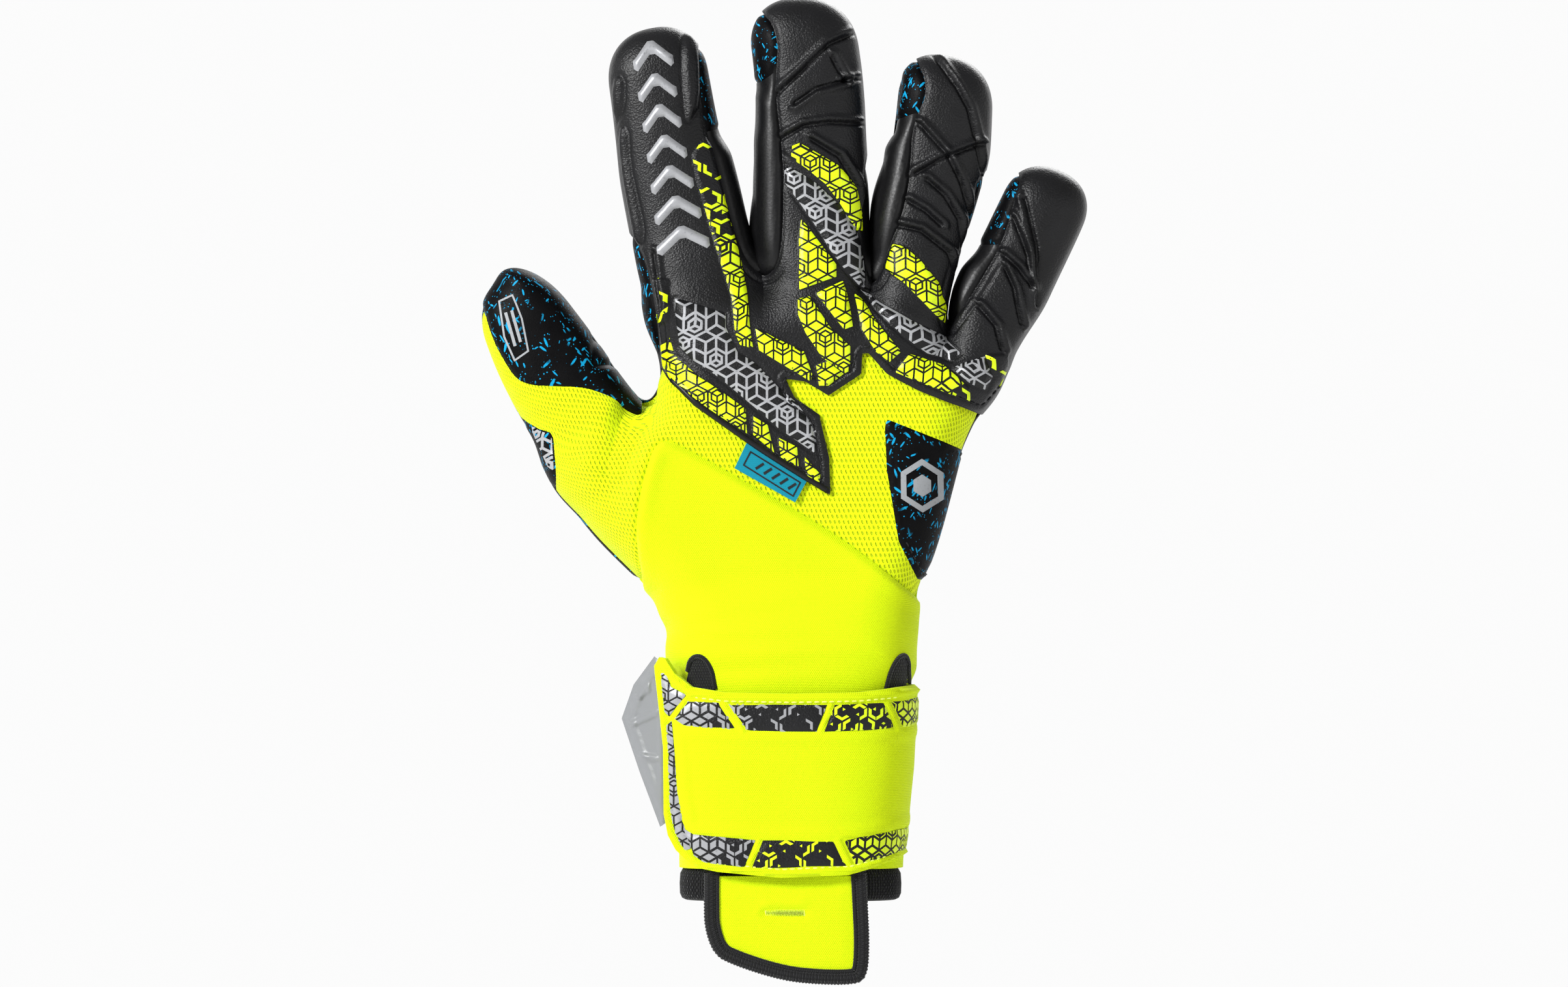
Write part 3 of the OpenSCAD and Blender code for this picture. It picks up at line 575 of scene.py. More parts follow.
def relief(kind, P):
    """Height of a panel's face over the body."""
    x, y, z = P.T
    seam = 0.55 * bump(y - SIDE_Y, 1.1)
    d_panel, d_neo, d_thumb = (np.abs(r(x, z)) for r in (PANEL, NEOPRENE, THUMB_LATEX))
    on_back = y < SIDE_Y + 0.01
    if kind == "panel":                              # flatter where it turns to the side
        g = gradient(P)
        facing = ramp(-g[:, 1] / np.linalg.norm(g, axis=1), 0.15, 0.6)
        return 0.75 + 0.6 * facing + (panel_relief(x, z) - PANEL_HEIGHT) * facing - seam
    if kind == "knit":
        h = soft_folds(P) - seam - 0.5 * bump(d_thumb, 1.2) - 0.7 * bump(d_panel, 1.6)
        return h - 0.8 * bump(d_neo, 0.9)
    if kind == "neoprene":
        h = soft_folds(P) + on_back * (0.95 * ramp(-NEOPRENE(x, z), 0, 1.4)
                                       + 0.35 * bump(-NEOPRENE(x, z) - 2.4, 2.2))
        return h - np.where(y > SIDE_Y, 0.5 * bump(HEEL(x, z), 1.2), 0)
    if kind == "tube":
        tip = np.minimum.reduce([r(x, z) for r in TIP_LATEX])
        h = 1.5 * np.sin(math.pi * np.clip(d_panel / 9, 0, 1)) * ramp(tip, 0.5, 9)
        return h - 0.9 * bump(d_panel, 1.0) - 0.5 * bump(y - SIDE_Y, 1.2)
    if kind in ("latex", "thumb_patch"):
        near = np.minimum.reduce([d_panel, d_thumb] + [np.abs(r(x, z)) for r in TIP_LATEX])
        h = 0.5 - 0.8 * bump(near, 1.0) - seam
        if kind == "thumb_patch":
            h -= 0.8 * bump(THUMB_PATCH(x, z), 0.9)
        return h
    if kind == "outer_patch":
        return 0.9 - 0.9 * bump(OUTER_PATCH(x, z), 0.8) - 0.35 * bump(OUTER_PATCH(x, z) + 2, 0.4)
    # Palm: the latex is one sheet with a seam round the thumb and creases at the joints.
    h = 0.7 - 0.6 * bump(y - SIDE_Y, 1.2) - 0.8 * bump(HEEL(x, z), 1.0)
    h += 0.35 * soft_folds(P)
    for points in PALM_SEAMS:
        h -= 0.8 * bump(line_distance(points, x, z)[0], 0.7)
    return h


PALM_SEAMS = [
    [(-38, 160), (-33, 146), (-24, 128), (-20, 108), (-22, 90)],
    [(-46, 187.5), (-30, 186), (-14, 187), (6, 186), (24, 184), (38, 182.5), (50, 174),
     (60, 164), (70, 162)],
]


# ---------------------------------------------------------------- materials

def rgb(r, g, b):
    """Linear colour from 0-255 sRGB."""
    lin = lambda v: v / 12.92 if v <= 0.04045 else ((v + 0.055) / 1.055) ** 2.4
    return tuple(lin(v / 255) for v in (r, g, b)) + (1.0,)


def plug(tree, value, socket):
    """Links a node's output to the socket, or sets the socket's own value."""
    if isinstance(value, bpy.types.NodeSocket):
        tree.links.new(value, socket)
    else:
        socket.default_value = value


class Shader:
    """A small helper for a material's nodes: its coordinates are stored on the mesh, in mm."""

    def __init__(self, name, **sockets):
        self.mat = bpy.data.materials.new(name)
        self.mat.use_nodes = True
        self.tree = self.mat.node_tree
        self.bsdf = self.tree.nodes["Principled BSDF"]
        for key, value in sockets.items():
            self.bsdf.inputs[key.replace("_", " ")].default_value = value

    def node(self, kind, inputs=(), **props):
        n = self.tree.nodes.new("ShaderNode" + kind)
        for key, value in props.items():
            setattr(n, key, value)
        for key, value in dict(inputs).items():
            plug(self.tree, value, n.inputs[key])
        return n

    def math(self, op, a, b=0.0, c=0.0):
        return self.node("Math", {0: a, 1: b, 2: c}, operation=op).outputs[0]

    def add(self, a, b):
        return self.math("ADD", a, b)

    def times(self, a, b):
        return self.math("MULTIPLY", a, b)

    def turned(self, u, v, c, s):
        """u and v along a direction with the cosine c and sine s, and across it."""
        return (self.add(self.times(u, c), self.times(v, s)),
                self.math("SUBTRACT", self.times(v, c), self.times(u, s)))

    def coords(self, name="rest"):
        return self.node("Attribute", attribute_name=name).outputs["Vector"]

    def noise(self, vector, scale, detail=2.0, rough=0.5):
        return self.node("TexNoise", {"Vector": vector, "Scale": scale, "Detail": detail,
                                      "Roughness": rough}).outputs["Fac"]

    def ramp(self, fac, *stops, mode="LINEAR"):
        n = self.node("ValToRGB", {"Fac": fac})
        n.color_ramp.interpolation = mode
        e = n.color_ramp.elements
        while len(e) > len(stops):
            e.remove(e[-1])
        while len(e) < len(stops):
            e.new(1.0)
        for item, (at, colour) in zip(e, stops):
            item.position = at
            item.color = colour if isinstance(colour, tuple) else (colour,) * 3 + (1.0,)
        return n.outputs["Color"]

    def mix(self, fac, a, b):
        return self.node("Mix", {0: fac, 6: a, 7: b}, data_type="RGBA").outputs[2]

    def link(self, socket, name):
        self.tree.links.new(socket, self.bsdf.inputs[name])

    def bumps(self, *layers):
        """Each layer is (height, distance in metres, strength)."""
        normal = None
        for height, distance, strength in layers:
            inputs = {"Height": height, "Distance": distance, "Strength": strength}
            if normal is not None:
                inputs["Normal"] = normal
            normal = self.node("Bump", inputs).outputs["Normal"]
        self.link(normal, "Normal")


def weave_dots(sh, vector, px, pz, turn, rx, rz):
    """Staggered dashes: 1 in each dash's middle, 0 between them. px and pz are pitches in mm."""
    sep = sh.node("SeparateXYZ", {0: vector})
    v = sh.math("DIVIDE", sep.outputs["Y"], pz)
    row = sh.math("FLOOR", v)
    u = sh.add(sh.math("DIVIDE", sep.outputs["X"], px), sh.times(row, 0.5))
    fu = sh.times(sh.math("SUBTRACT", sh.math("FRACT", u), 0.5), px)
    fv = sh.times(sh.math("SUBTRACT", sh.math("FRACT", v), 0.5), pz)
    c, s = math.cos(turn), math.sin(turn)
    a = sh.add(sh.times(fu, c / rx), sh.times(fv, s / rx))
    b = sh.add(sh.times(fu, -s / rz), sh.times(fv, c / rz))
    d = sh.math("SQRT", sh.add(sh.times(a, a), sh.times(b, b)))
    return sh.node("MapRange", {"Value": d, "From Min": 0.35, "From Max": 1.15, "To Min": 1.0,
                                "To Max": 0.0}, interpolation_type="SMOOTHSTEP").outputs[0]


NEON, NEON_DEEP, NEON_LIGHT = rgb(208, 226, 10), rgb(128, 152, 0), rgb(214, 235, 18)
SHEEN_TINT = (0.9, 1.0, 0.4, 1)


def make_knit():
    sh = Shader("air_mesh", Roughness=0.75, Specular_IOR_Level=0.08, Sheen_Weight=0.12,
                Sheen_Roughness=0.5, Sheen_Tint=SHEEN_TINT)
    w = sh.coords("weave")
    dots = weave_dots(sh, w, 1.4, 1.7, 0.4, 0.3, 0.72)
    fine = weave_dots(sh, w, 0.48, 0.5, 0.0, 0.2, 0.2)
    tone = sh.noise(sh.coords(), 0.05, 3)
    base = sh.mix(tone, NEON, NEON_LIGHT)
    base = sh.mix(sh.math("MULTIPLY", dots, 0.5), base, NEON_DEEP)
    sh.link(base, "Base Color")
    sh.bumps((dots, -0.0005, 0.9), (fine, 0.0001, 0.5))
    return sh.mat


def make_neoprene():
    sh = Shader("neoprene", Roughness=0.7, Specular_IOR_Level=0.08, Sheen_Weight=0.15,
                Sheen_Roughness=0.4, Sheen_Tint=SHEEN_TINT)
    w = sh.coords("weave")
    dots = weave_dots(sh, w, 0.62, 0.5, 0.0, 0.26, 0.2)
    tone = sh.noise(sh.coords(), 0.04, 3)
    base = sh.mix(tone, NEON, NEON_LIGHT)
    base = sh.mix(sh.math("MULTIPLY_ADD", dots, 0.5, 0.5), rgb(176, 208, 0), base)
    sh.link(base, "Base Color")
    sh.bumps((dots, 0.00016, 0.7), (sh.noise(sh.coords(), 0.7, 3), 0.0002, 0.3))
    return sh.mat


def make_embossed():
    sh = Shader("embossed_panel", Roughness=0.42, Specular_IOR_Level=0.25)
    p = sh.coords()
    grain = sh.noise(p, 2.6, 4, 0.6)
    pores = sh.node("TexVoronoi", {"Vector": p, "Scale": 1.7}).outputs["Distance"]
    sh.link(sh.ramp(sh.noise(p, 0.08, 3), (0.3, rgb(11, 11, 12)), (0.7, rgb(18, 18, 20))),
            "Base Color")
    sh.link(sh.ramp(grain, (0.3, 0.3), (0.75, 0.46)), "Roughness")
    sh.bumps((pores, 0.00018, 0.6), (grain, 0.00014, 0.7))
    return sh.mat


def make_smooth_black():
    sh = Shader("smooth_black", Roughness=0.4, Specular_IOR_Level=0.24)
    p = sh.coords()
    grain = sh.noise(p, 1.6, 3)
    sh.link(sh.ramp(sh.noise(p, 0.1, 2), (0.3, rgb(10, 10, 11)), (0.7, rgb(16, 16, 17))),
            "Base Color")
    sh.link(sh.ramp(grain, (0.3, 0.34), (0.7, 0.46)), "Roughness")
    sh.bumps((grain, 0.0001, 0.35))
    return sh.mat


def strokes(sh, w, cell, half_length, half_width, share):
    """Short strokes of paint at random angles, one for some of the cells."""
    v = sh.node("TexVoronoi", {"Vector": w, "Scale": 1 / cell, "Randomness": 0.85},
                voronoi_dimensions="2D")
    off = sh.node("SeparateXYZ", {0: sh.node("VectorMath", {0: w, 1: v.outputs["Position"]},
                                             operation="SUBTRACT").outputs[0]})
    dice = sh.node("SeparateColor", {0: v.outputs["Color"]})
    turn = sh.math("MULTIPLY_ADD", sh.math("GREATER_THAN", dice.outputs[0], 0.5), 1.7,
                   sh.math("MULTIPLY_ADD", dice.outputs[1], 0.9, -1.3))
    a, b = sh.turned(off.outputs[0], off.outputs[1], sh.math("COSINE", turn),
                     sh.math("SINE", turn))
    size = sh.math("MULTIPLY_ADD", dice.outputs[2], 0.7, 0.4)
    a = sh.math("DIVIDE", sh.math("ABSOLUTE", a), sh.times(size, half_length))
    b = sh.math("DIVIDE", sh.math("ABSOLUTE", b), sh.times(size, half_width))
    d = sh.math("MAXIMUM", a, sh.math("SQRT", sh.add(sh.times(a, a), sh.times(b, b))))
    d = sh.add(d, sh.math("MULTIPLY_ADD", sh.noise(w, 1.8, 3, 0.7), 0.9, -0.45))
    hit = sh.node("MapRange", {"Value": d, "From Min": 1.05, "From Max": 0.9}).outputs[0]
    chosen = sh.math("LESS_THAN", sh.math("FRACT", sh.times(dice.outputs[1], 7.31)), share)
    return sh.times(hit, chosen)


def make_latex():
    sh = Shader("latex", Roughness=0.5, Specular_IOR_Level=0.07)
    p, w = sh.coords(), sh.coords("weave")
    moved = sh.node("VectorMath", {0: w, 1: (31.7, 12.3, 0)}, operation="ADD").outputs[0]
    flecks = sh.math("MAXIMUM", strokes(sh, w, 3.6, 2.0, 0.44, 0.42),
                     strokes(sh, moved, 2.5, 1.2, 0.36, 0.3))
    flecks = sh.math("MAXIMUM", flecks, strokes(sh, moved, 1.1, 0.22, 0.2, 0.22))
    patchy = sh.node("MapRange", {"Value": sh.noise(w, 0.12, 2), "From Min": 0.42,
                                  "From Max": 0.5}).outputs[0]
    flecks = sh.math("MULTIPLY", flecks, patchy)
    grain = sh.noise(p, 2.2, 3)
    base = sh.ramp(sh.noise(p, 0.12, 2), (0.3, rgb(2, 2, 3)), (0.7, rgb(7, 7, 8)))
    sh.link(sh.mix(flecks, base, rgb(14, 140, 186)), "Base Color")
    sh.link(sh.ramp(grain, (0.3, 0.42), (0.75, 0.6)), "Roughness")
    sh.bumps((grain, 0.00015, 0.5), (flecks, 0.00006, 0.4))
    return sh.mat


MATERIAL = {"knit": make_knit(), "neoprene": make_neoprene(), "panel": make_embossed(),
            "tube": make_smooth_black(), "latex": make_latex()}
SLOT = {"knit": "air_mesh", "neoprene": "neoprene", "panel": "embossed_panel",
        "tube": "embossed_panel", "latex": "latex"}
for key in ("palm", "thumb_patch", "outer_patch"):
    MATERIAL[key], SLOT[key] = MATERIAL["latex"], "latex"


# ---------------------------------------------------------------- meshes

def unit(v):
    return v / np.maximum(np.linalg.norm(v, axis=1), 1e-12)[:, None]


def point_normals(P, T):
    n = np.cross(P[T[:, 1]] - P[T[:, 0]], P[T[:, 2]] - P[T[:, 0]])
    out = np.zeros_like(P)
    for k in range(3):
        for c in range(3):
            out[:, c] += np.bincount(T[:, k], weights=n[:, c], minlength=len(P))
    return unit(out)


def make_object(name, V, faces, material, rest=None, weave=None, loop_normals=None, slot=None):
    mesh = bpy.data.meshes.new(name)
    V = np.asarray(V, float)
    mesh.from_pydata((V * MM).tolist(), [], faces)
    mesh.materials.append(material)
    for key, value in (("rest", rest if rest is not None else V), ("weave", weave)):
        if value is None:
            value = np.stack([V[:, 0], V[:, 2], V[:, 1]], axis=1)
        a = mesh.attributes.new(key, "FLOAT_VECTOR", "POINT")
        a.data.foreach_set("vector", np.asarray(value, np.float32).ravel())
    mesh.polygons.foreach_set("use_smooth", np.ones(len(mesh.polygons), bool))
    if loop_normals is not None:
        mesh.normals_split_custom_set(loop_normals.tolist())
    obj = bpy.data.objects.new(name, mesh)
    scene.collection.objects.link(obj)
    return obj


def border_edges(T):
    e = sides_of(T)
    key = np.sort(e, axis=1)
    _, first, count = np.unique(key, axis=0, return_index=True, return_counts=True)
    return e[first[count == 1]]


def compact(T):
    """The ids in T, and T with their places in that list."""
    ids, back = np.unique(T, return_inverse=True)
    return ids, back.reshape(T.shape)


def shell(name, out, nout, inn, T_out, T_in, walls, material, rest, weave, slot):
    """A closed sheet. walls are triangles of ids below len(out) outside, and above it inside.
    rest and weave have a row for each point of out, and then of inn."""
    V = np.vstack([out, inn])
    F = np.concatenate([T_out, T_in[:, ::-1] + len(out), walls])
    fn = unit(np.cross(V[walls[:, 1]] - V[walls[:, 0]], V[walls[:, 2]] - V[walls[:, 0]]))
    nin = -point_normals(inn, T_in)
    N3 = np.concatenate([nout[T_out].reshape(-1, 3), nin[T_in[:, ::-1]].reshape(-1, 3),
                         np.repeat(fn, 3, axis=0)])
    return make_object(name, V, F.tolist(), material, rest, weave, N3, slot)


def weave_coords(P, N, shift):
    """Flat coordinates for the weave: X and Z, running on down the walls from back and palm."""
    y = np.abs(P[:, 1] - SIDE_Y)
    u, v = (P[:, i] + N[:, i] * (np.percentile(y, 95) - y) for i in (0, 2))
    return np.stack([u + shift, v, np.zeros(len(P))], axis=1)


def body_to(obj, part_name):
    """Attaches a piece of the hand to the hand's body; a piece of a digit only has its place baked
    into its mesh.
    """
    if part_name == "hand":
        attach(obj, "hand")
        return
    name, end = part_name.rsplit("_", 1)
    d = DIGIT[name]
    if end == "low":
        a, b, s0, s1 = "hand", name + "_proximal", 0.0, HALFWAY[name] - 0.5
    else:
        a, b = name + "_proximal", name + "_distal"
        s0, s1 = HALFWAY[name] + 0.5, 2 * d.joint - HALFWAY[name]
    p0, p1 = d.point(0, s0), d.point(0, s1)
    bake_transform(obj)


THICK = 1.8            # how far a sewn piece goes in under the body's surface
PALM_SHIFT = 47        # keeps the palm's flecks from lining up with the back's


def make_panel(kind):
    """The sewn pieces of one kind, one for each moving part."""
    Tk = T[label == kind]
    parts = part[label == kind]
    ids, Tk = compact(Tk)
    base = P[ids]
    fine = kind == "panel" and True
    if fine:                                  # twice as fine, for the relief
        key, inv = np.unique(np.sort(sides_of(Tk), axis=1), axis=0, return_inverse=True)
        inv = inv.reshape(-1)
        n0 = len(base)
        mids = snap_to_field((base[key[:, 0]] + base[key[:, 1]]) / 2, 1)[0]
        base = np.vstack([base, mids])
        m = n0 + inv.reshape(3, -1).T
        a, b, c = Tk.T
        T_fine = np.concatenate([np.stack(q, 1) for q in (
            (a, m[:, 0], m[:, 2]), (m[:, 0], b, m[:, 1]), (m[:, 2], m[:, 1], c),
            (m[:, 0], m[:, 1], m[:, 2]))])
        parts_fine = np.tile(parts, 4)
        mid_of = {tuple(k): n0 + i for i, k in enumerate(key)}
    else:
        T_fine, parts_fine = Tk, parts
    grad = unit(gradient(base))
    out = base + grad * relief(kind, base)[:, None]
    nout = point_normals(out, T_fine)
    inn = base - grad * THICK
    weave = weave_coords(base, grad, PALM_SHIFT if kind == "palm" else 0)
    for name in sorted(set(parts)):
        Tf, Tc = T_fine[parts_fine == name], Tk[parts == name]
        fids, Tf = compact(Tf)
        cids, Tc = compact(Tc)
        pos_f = {int(g): i for i, g in enumerate(fids)}
        n = len(fids)
        walls = []
        for a, b in border_edges(Tc):
            ga, gb = int(cids[a]), int(cids[b])
            fa, fb, ca, cb = pos_f[ga], pos_f[gb], n + int(a), n + int(b)
            if fine:
                mm = pos_f[mid_of[(min(ga, gb), max(ga, gb))]]
                walls += [(mm, fa, ca), (fb, mm, cb), (mm, ca, cb)]
            else:
                walls += [(fb, fa, ca), (fb, ca, cb)]
        obj = shell(f"{kind}_{name}", out[fids], nout[fids], inn[cids], Tf, Tc, np.array(walls),
                    MATERIAL[kind], np.vstack([base[fids], base[cids]]),
                    np.vstack([weave[fids], weave[cids]]), SLOT[kind])
        if kind == "neoprene":
            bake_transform(obj)
        else:
            body_to(obj, name)


for kind in ("knit", "neoprene", "panel", "tube", "latex", "palm", "thumb_patch", "outer_patch"):
    make_panel(kind)


# ---------------------------------------------------------------- shapes on a surface

def hand_map(kind):
    """Puts points of the front view on the back of the glove, h over its panel."""
    def to_surface(x, z, h):
        lo, hi = np.full(x.shape, -32.0), np.full(x.shape, SIDE_Y)
        for _ in range(13):
            m = (lo + hi) / 2
            out = field(x, m, z) > 0
            lo, hi = np.where(out, m, lo), np.where(out, hi, m)
        base, n = snap_to_field(np.stack([x, (lo + hi) / 2, z], axis=1), 1)
        return base + n * (relief(kind, base) + h)[:, None]
    return to_surface


# The strap's half width and half depth, on the back and round on the palm.
STRAP_A = lambda z: np.interp(z, [8, 16, 24, 40, 60], [34.8, 35.2, 36.4, 38.0, 38.9])
STRAP_B, STRAP_B_PALM = 29.6, 27.4
T_TABLE = np.linspace(-1.2, 4.3, 500)    # angles round the strap, from left of the back's middle


def super_xy(t, a, b):
    """The cuff's rounded oblong at the angle t from the middle of its back."""
    sx, cy = np.sin(t), np.cos(t)
    return (CUFF_X + a * np.sign(sx) * np.abs(sx) ** (2 / CUFF_OVAL),
            -b * np.sign(cy) * np.abs(cy) ** (2 / CUFF_OVAL))


table_x, table_y = super_xy(T_TABLE, 38.0, STRAP_B)
S_TABLE = np.concatenate([[0], np.cumsum(np.hypot(np.diff(table_x), np.diff(table_y)))])
S_TABLE -= np.interp(0.0, T_TABLE, S_TABLE)


def strap_map(s, z, h):
    """Puts unrolled strap points on it: s is 0 at the middle of the back and grows to the right.
    h is over the strap's outer face."""
    def at(s, z):
        t = np.interp(s, S_TABLE, T_TABLE)
        x, y = super_xy(t, STRAP_A(z), np.where(t > 1.57, STRAP_B_PALM, STRAP_B))
        left = s < 0                            # here it stands off the cuff towards its end
        y_left = -STRAP_B * (1 - np.minimum(np.abs(s) / 50, 0.98) ** CUFF_OVAL) ** (1 / CUFF_OVAL)
        x, y = np.where(left, CUFF_X + s, x), np.where(left, y_left, y)
        return np.stack([x, y, z], axis=1)
    e = 0.4
    ps = at(s + e, z) - at(s - e, z)
    pz = at(s, z + e) - at(s, z - e)
    n = unit(np.cross(ps, pz))
    return at(s, z) + n * h[:, None]


def flat_map(y0, tilt_from=None, slope=0.0):
    """A plane that faces the front, y0 at its back. Left of tilt_from it leans away."""
    def place(x, z, h):
        away = np.zeros_like(x) if tilt_from is None else np.clip(tilt_from - x, 0, None) * slope
        return np.stack([x, y0 + away - h, z], axis=1)
    return place


def dense(poly, step):
    """The outline anticlockwise, with no side longer than step."""
    p = np.array(poly)
    if np.sum(p[:, 0] * np.roll(p[:, 1], -1) - p[:, 1] * np.roll(p[:, 0], -1)) < 0:
        poly = poly[::-1]
    out = []
    for a, b in zip(poly, list(poly[1:]) + [poly[0]]):
        n = max(1, int(math.ceil(math.dist(a, b) / step)))
        out += [(a[0] + (b[0] - a[0]) * i / n, a[1] + (b[1] - a[1]) * i / n) for i in range(n)]
    return out


def triangles_in(zone, shapes=None, step=0.9):
    """Triangles of the shapes that are inside the zone, or of the zone itself."""
    polys = [dense([tuple(map(float, p)) for p in q], step) for q in [zone] + list(shapes or [])]
    verts, faces = [], []
    for q in polys:
        faces.append(list(range(len(verts), len(verts) + len(q))))
        verts += q
    z = np.array(polys[0])
    lo, hi = z.min(axis=0), z.max(axis=0)
    gx, gz = np.meshgrid(np.arange(lo[0], hi[0], step), np.arange(lo[1], hi[1], step * 0.866),
                         indexing="ij")
    gx = gx + (np.arange(gx.shape[1]) % 2)[None, :] * step / 2
    gx, gz = gx.ravel(), gz.ravel()
    keep = inside(z, gx, gz) & (line_distance(z, gx, gz, True)[0] > step * 0.45)
    verts += list(zip(gx[keep].tolist(), gz[keep].tolist()))
    vs, _, fs, _, _, origin = delaunay_2d_cdt([Vector(v) for v in verts], [], faces, 1, 1e-4, True)
    tri = [f for f, o in zip(fs, origin)
           if len(f) == 3 and 0 in o and (shapes is None or any(i > 0 for i in o))]
    if not tri:
        return np.zeros((0, 2)), np.zeros((0, 3), int)
    V = np.array([tuple(v) for v in vs])
    ids, F = compact(np.array(tri))
    V = V[ids]
    a, b, c = V[F[:, 0]], V[F[:, 1]], V[F[:, 2]]
    turn = (b[:, 0] - a[:, 0]) * (c[:, 1] - a[:, 1]) - (b[:, 1] - a[:, 1]) * (c[:, 0] - a[:, 0])
    F = F[np.abs(turn) > 1e-5]
    turn = turn[np.abs(turn) > 1e-5]
    F[turn < 0] = F[turn < 0][:, ::-1]
    return V, F


def slab(name, V2, F, place, top, bottom, material, slot, exact=False):
    """A closed solid on a surface, over the triangles F of the front view points V2."""
    if not len(F):
        return None
    ids, F = compact(F)
    V2 = V2[ids]
    x, z = V2[:, 0], V2[:, 1]
    call = lambda f, x, z: f(x, z) if callable(f) else np.full(x.shape, float(f))
    up = lambda x, z: place(x, z, call(top, x, z))
    out = up(x, z)
    if exact:
        e = 0.25
        nout = unit(np.cross(up(x + e, z) - up(x - e, z), up(x, z + e) - up(x, z - e)))
    else:
        nout = point_normals(out, F)
    inn = place(x, z, call(bottom, x, z))
    edges = border_edges(F)
    a, b = edges.T
    n = len(V2)
    walls = np.concatenate([np.stack([b, a, a + n], 1), np.stack([b, a + n, b + n], 1)])
    weave = np.stack([x, z, 0 * x], axis=1)
    return shell(name, out, nout, inn, F, F, walls, material, np.vstack([out, out]),
                 np.vstack([weave, weave]), slot)


def by_part(V2, F, place):
    """Splits the triangles by the moving part of the glove that they lie on."""
    mid = V2[F].mean(axis=1)
    names = part_names(*owner(place(mid[:, 0], mid[:, 1], np.zeros(len(mid)))))
    return {name: F[names == name] for name in sorted(set(names))}


def merge(*parts):
    V, F, n = [], [], 0
    for v, f in parts:
        V.append(v)
        F.append(f + n)
        n += len(v)
    return np.vstack(V), np.concatenate(F)


def hexes(box, size):
    """Corner function, middle and a number for each hexagon that covers the box."""
    (x0, z0), (x1, z1) = box
    r = size / math.sqrt(3)
    for row in range(int((z1 - z0) / (1.5 * r)) + 3):
        for col in range(int((x1 - x0) / size) + 3):
            cx = x0 + (col + 0.5 * (row % 2)) * size - size
            cz = z0 + row * 1.5 * r - r
            yield (lambda k, q, cx=cx, cz=cz: (cx + q * r * math.sin(math.pi / 3 * k),
                                               cz + q * r * math.cos(math.pi / 3 * k))), \
                cx, cz, row + 2 * col, (row * 5 + col * 3) % 7


def hex_cells(box, size, amount):
    """Cube-like cells, some in a ring of chevrons. Where amount nears 1 only small marks stay."""
    out = []
    for at, cx, cz, n, dice in hexes(box, size):
        much = amount(cx, cz)
        if much > 0.42:                         # a few chevrons and specks
            g = 0.1 + 0.1 * much
            for k in (dice % 6, (dice + 2 + n % 2) % 6)[:2 if much < 0.8 else 1]:
                out.append(inset([at(k, .5), at(k, .95), at(k + 1, .95), at(k + 2, .95),
                                  at(k + 2, .5), at(k + 1, .5)], g))
            if dice % 3 and much < 0.9:
                k = (dice + 4) % 6
                out.append(inset([at(k, .1), at(k, .52), at(k + 1, .52), at(k + 1, .1)], g))
            continue
        whole = dice % 3 != 0
        core = 1.0 if whole else 0.62
        for k in (0, 2, 4):
            k += n % 2
            g = 0.27 + 0.5 * much
            out.append(inset([(cx, cz), at(k, core), at(k + 1, core), at(k + 2, core)], g))
            if not whole:
                out.append(inset([at(k, core), at(k, 1), at(k + 1, 1), at(k + 2, 1),
                                  at(k + 2, core), at(k + 1, core)], g))
    return [q for q in out if q]


def hex_lines(box, size, width):
    """The lines between such cells, as thin quads."""
    out = []
    for at, cx, cz, n, dice in hexes(box, size):
        whole = n % 3 != 0
        core = 1.0 if whole else 0.55
        for k in range(6):
            if k < 3:
                out.append((at(k, 1), at(k + 1, 1)))
            if not whole:
                out.append((at(k, core), at(k + 1, core)))
            if k % 2 == n % 2:
                out.append(((cx, cz), at(k, core)))
                if not whole and (dice + k) % 3:
                    out.append((at(k, core), at(k, 1)))
    quads = []
    for a, b in out:
        w = width((a[0] + b[0]) / 2, (a[1] + b[1]) / 2) / 2
        if w <= 0:
            continue
        d = np.subtract(b, a) / math.dist(a, b)
        n = np.array([-d[1], d[0]]) * w
        e = d * w * 0.6
        quads.append([tuple(a - e - n), tuple(b + e - n), tuple(b + e + n), tuple(a - e + n)])
    return quads


def inset(poly, g):
    """Moves each side of a small polygon inwards by g; None if nothing is left of it."""
    p = np.array(poly)
    area = lambda q: 0.5 * np.sum(q[:, 0] * np.roll(q[:, 1], -1) - q[:, 1] * np.roll(q[:, 0], -1))
    if area(p) < 0:
        p = p[::-1]
    d = np.roll(p, -1, axis=0) - p
    d /= np.linalg.norm(d, axis=1)[:, None]
    n = np.stack([-d[:, 1], d[:, 0]], axis=1)
    out = []
    for i in range(len(p)):
        a, b = (p[i - 1] + n[i - 1] * g, d[i - 1]), (p[i] + n[i] * g, d[i])
        cross = a[1][0] * b[1][1] - a[1][1] * b[1][0]
        if abs(cross) < 1e-6:
            out.append(p[i] + n[i] * g)
            continue
        w = b[0] - a[0]
        out.append(a[0] + a[1] * ((w[0] * b[1][1] - w[1] * b[1][0]) / cross))
    out = np.array(out)
    good = ((np.roll(out, -1, axis=0) - out) * d).sum(axis=1) > 0.05
    return [tuple(q) for q in out] if good.all() and area(out) > 0.15 else None


def run_of(p):
    """The length reached at each point of a line."""
    return np.concatenate([[0], np.cumsum(np.linalg.norm(np.diff(p, axis=0), axis=1))])


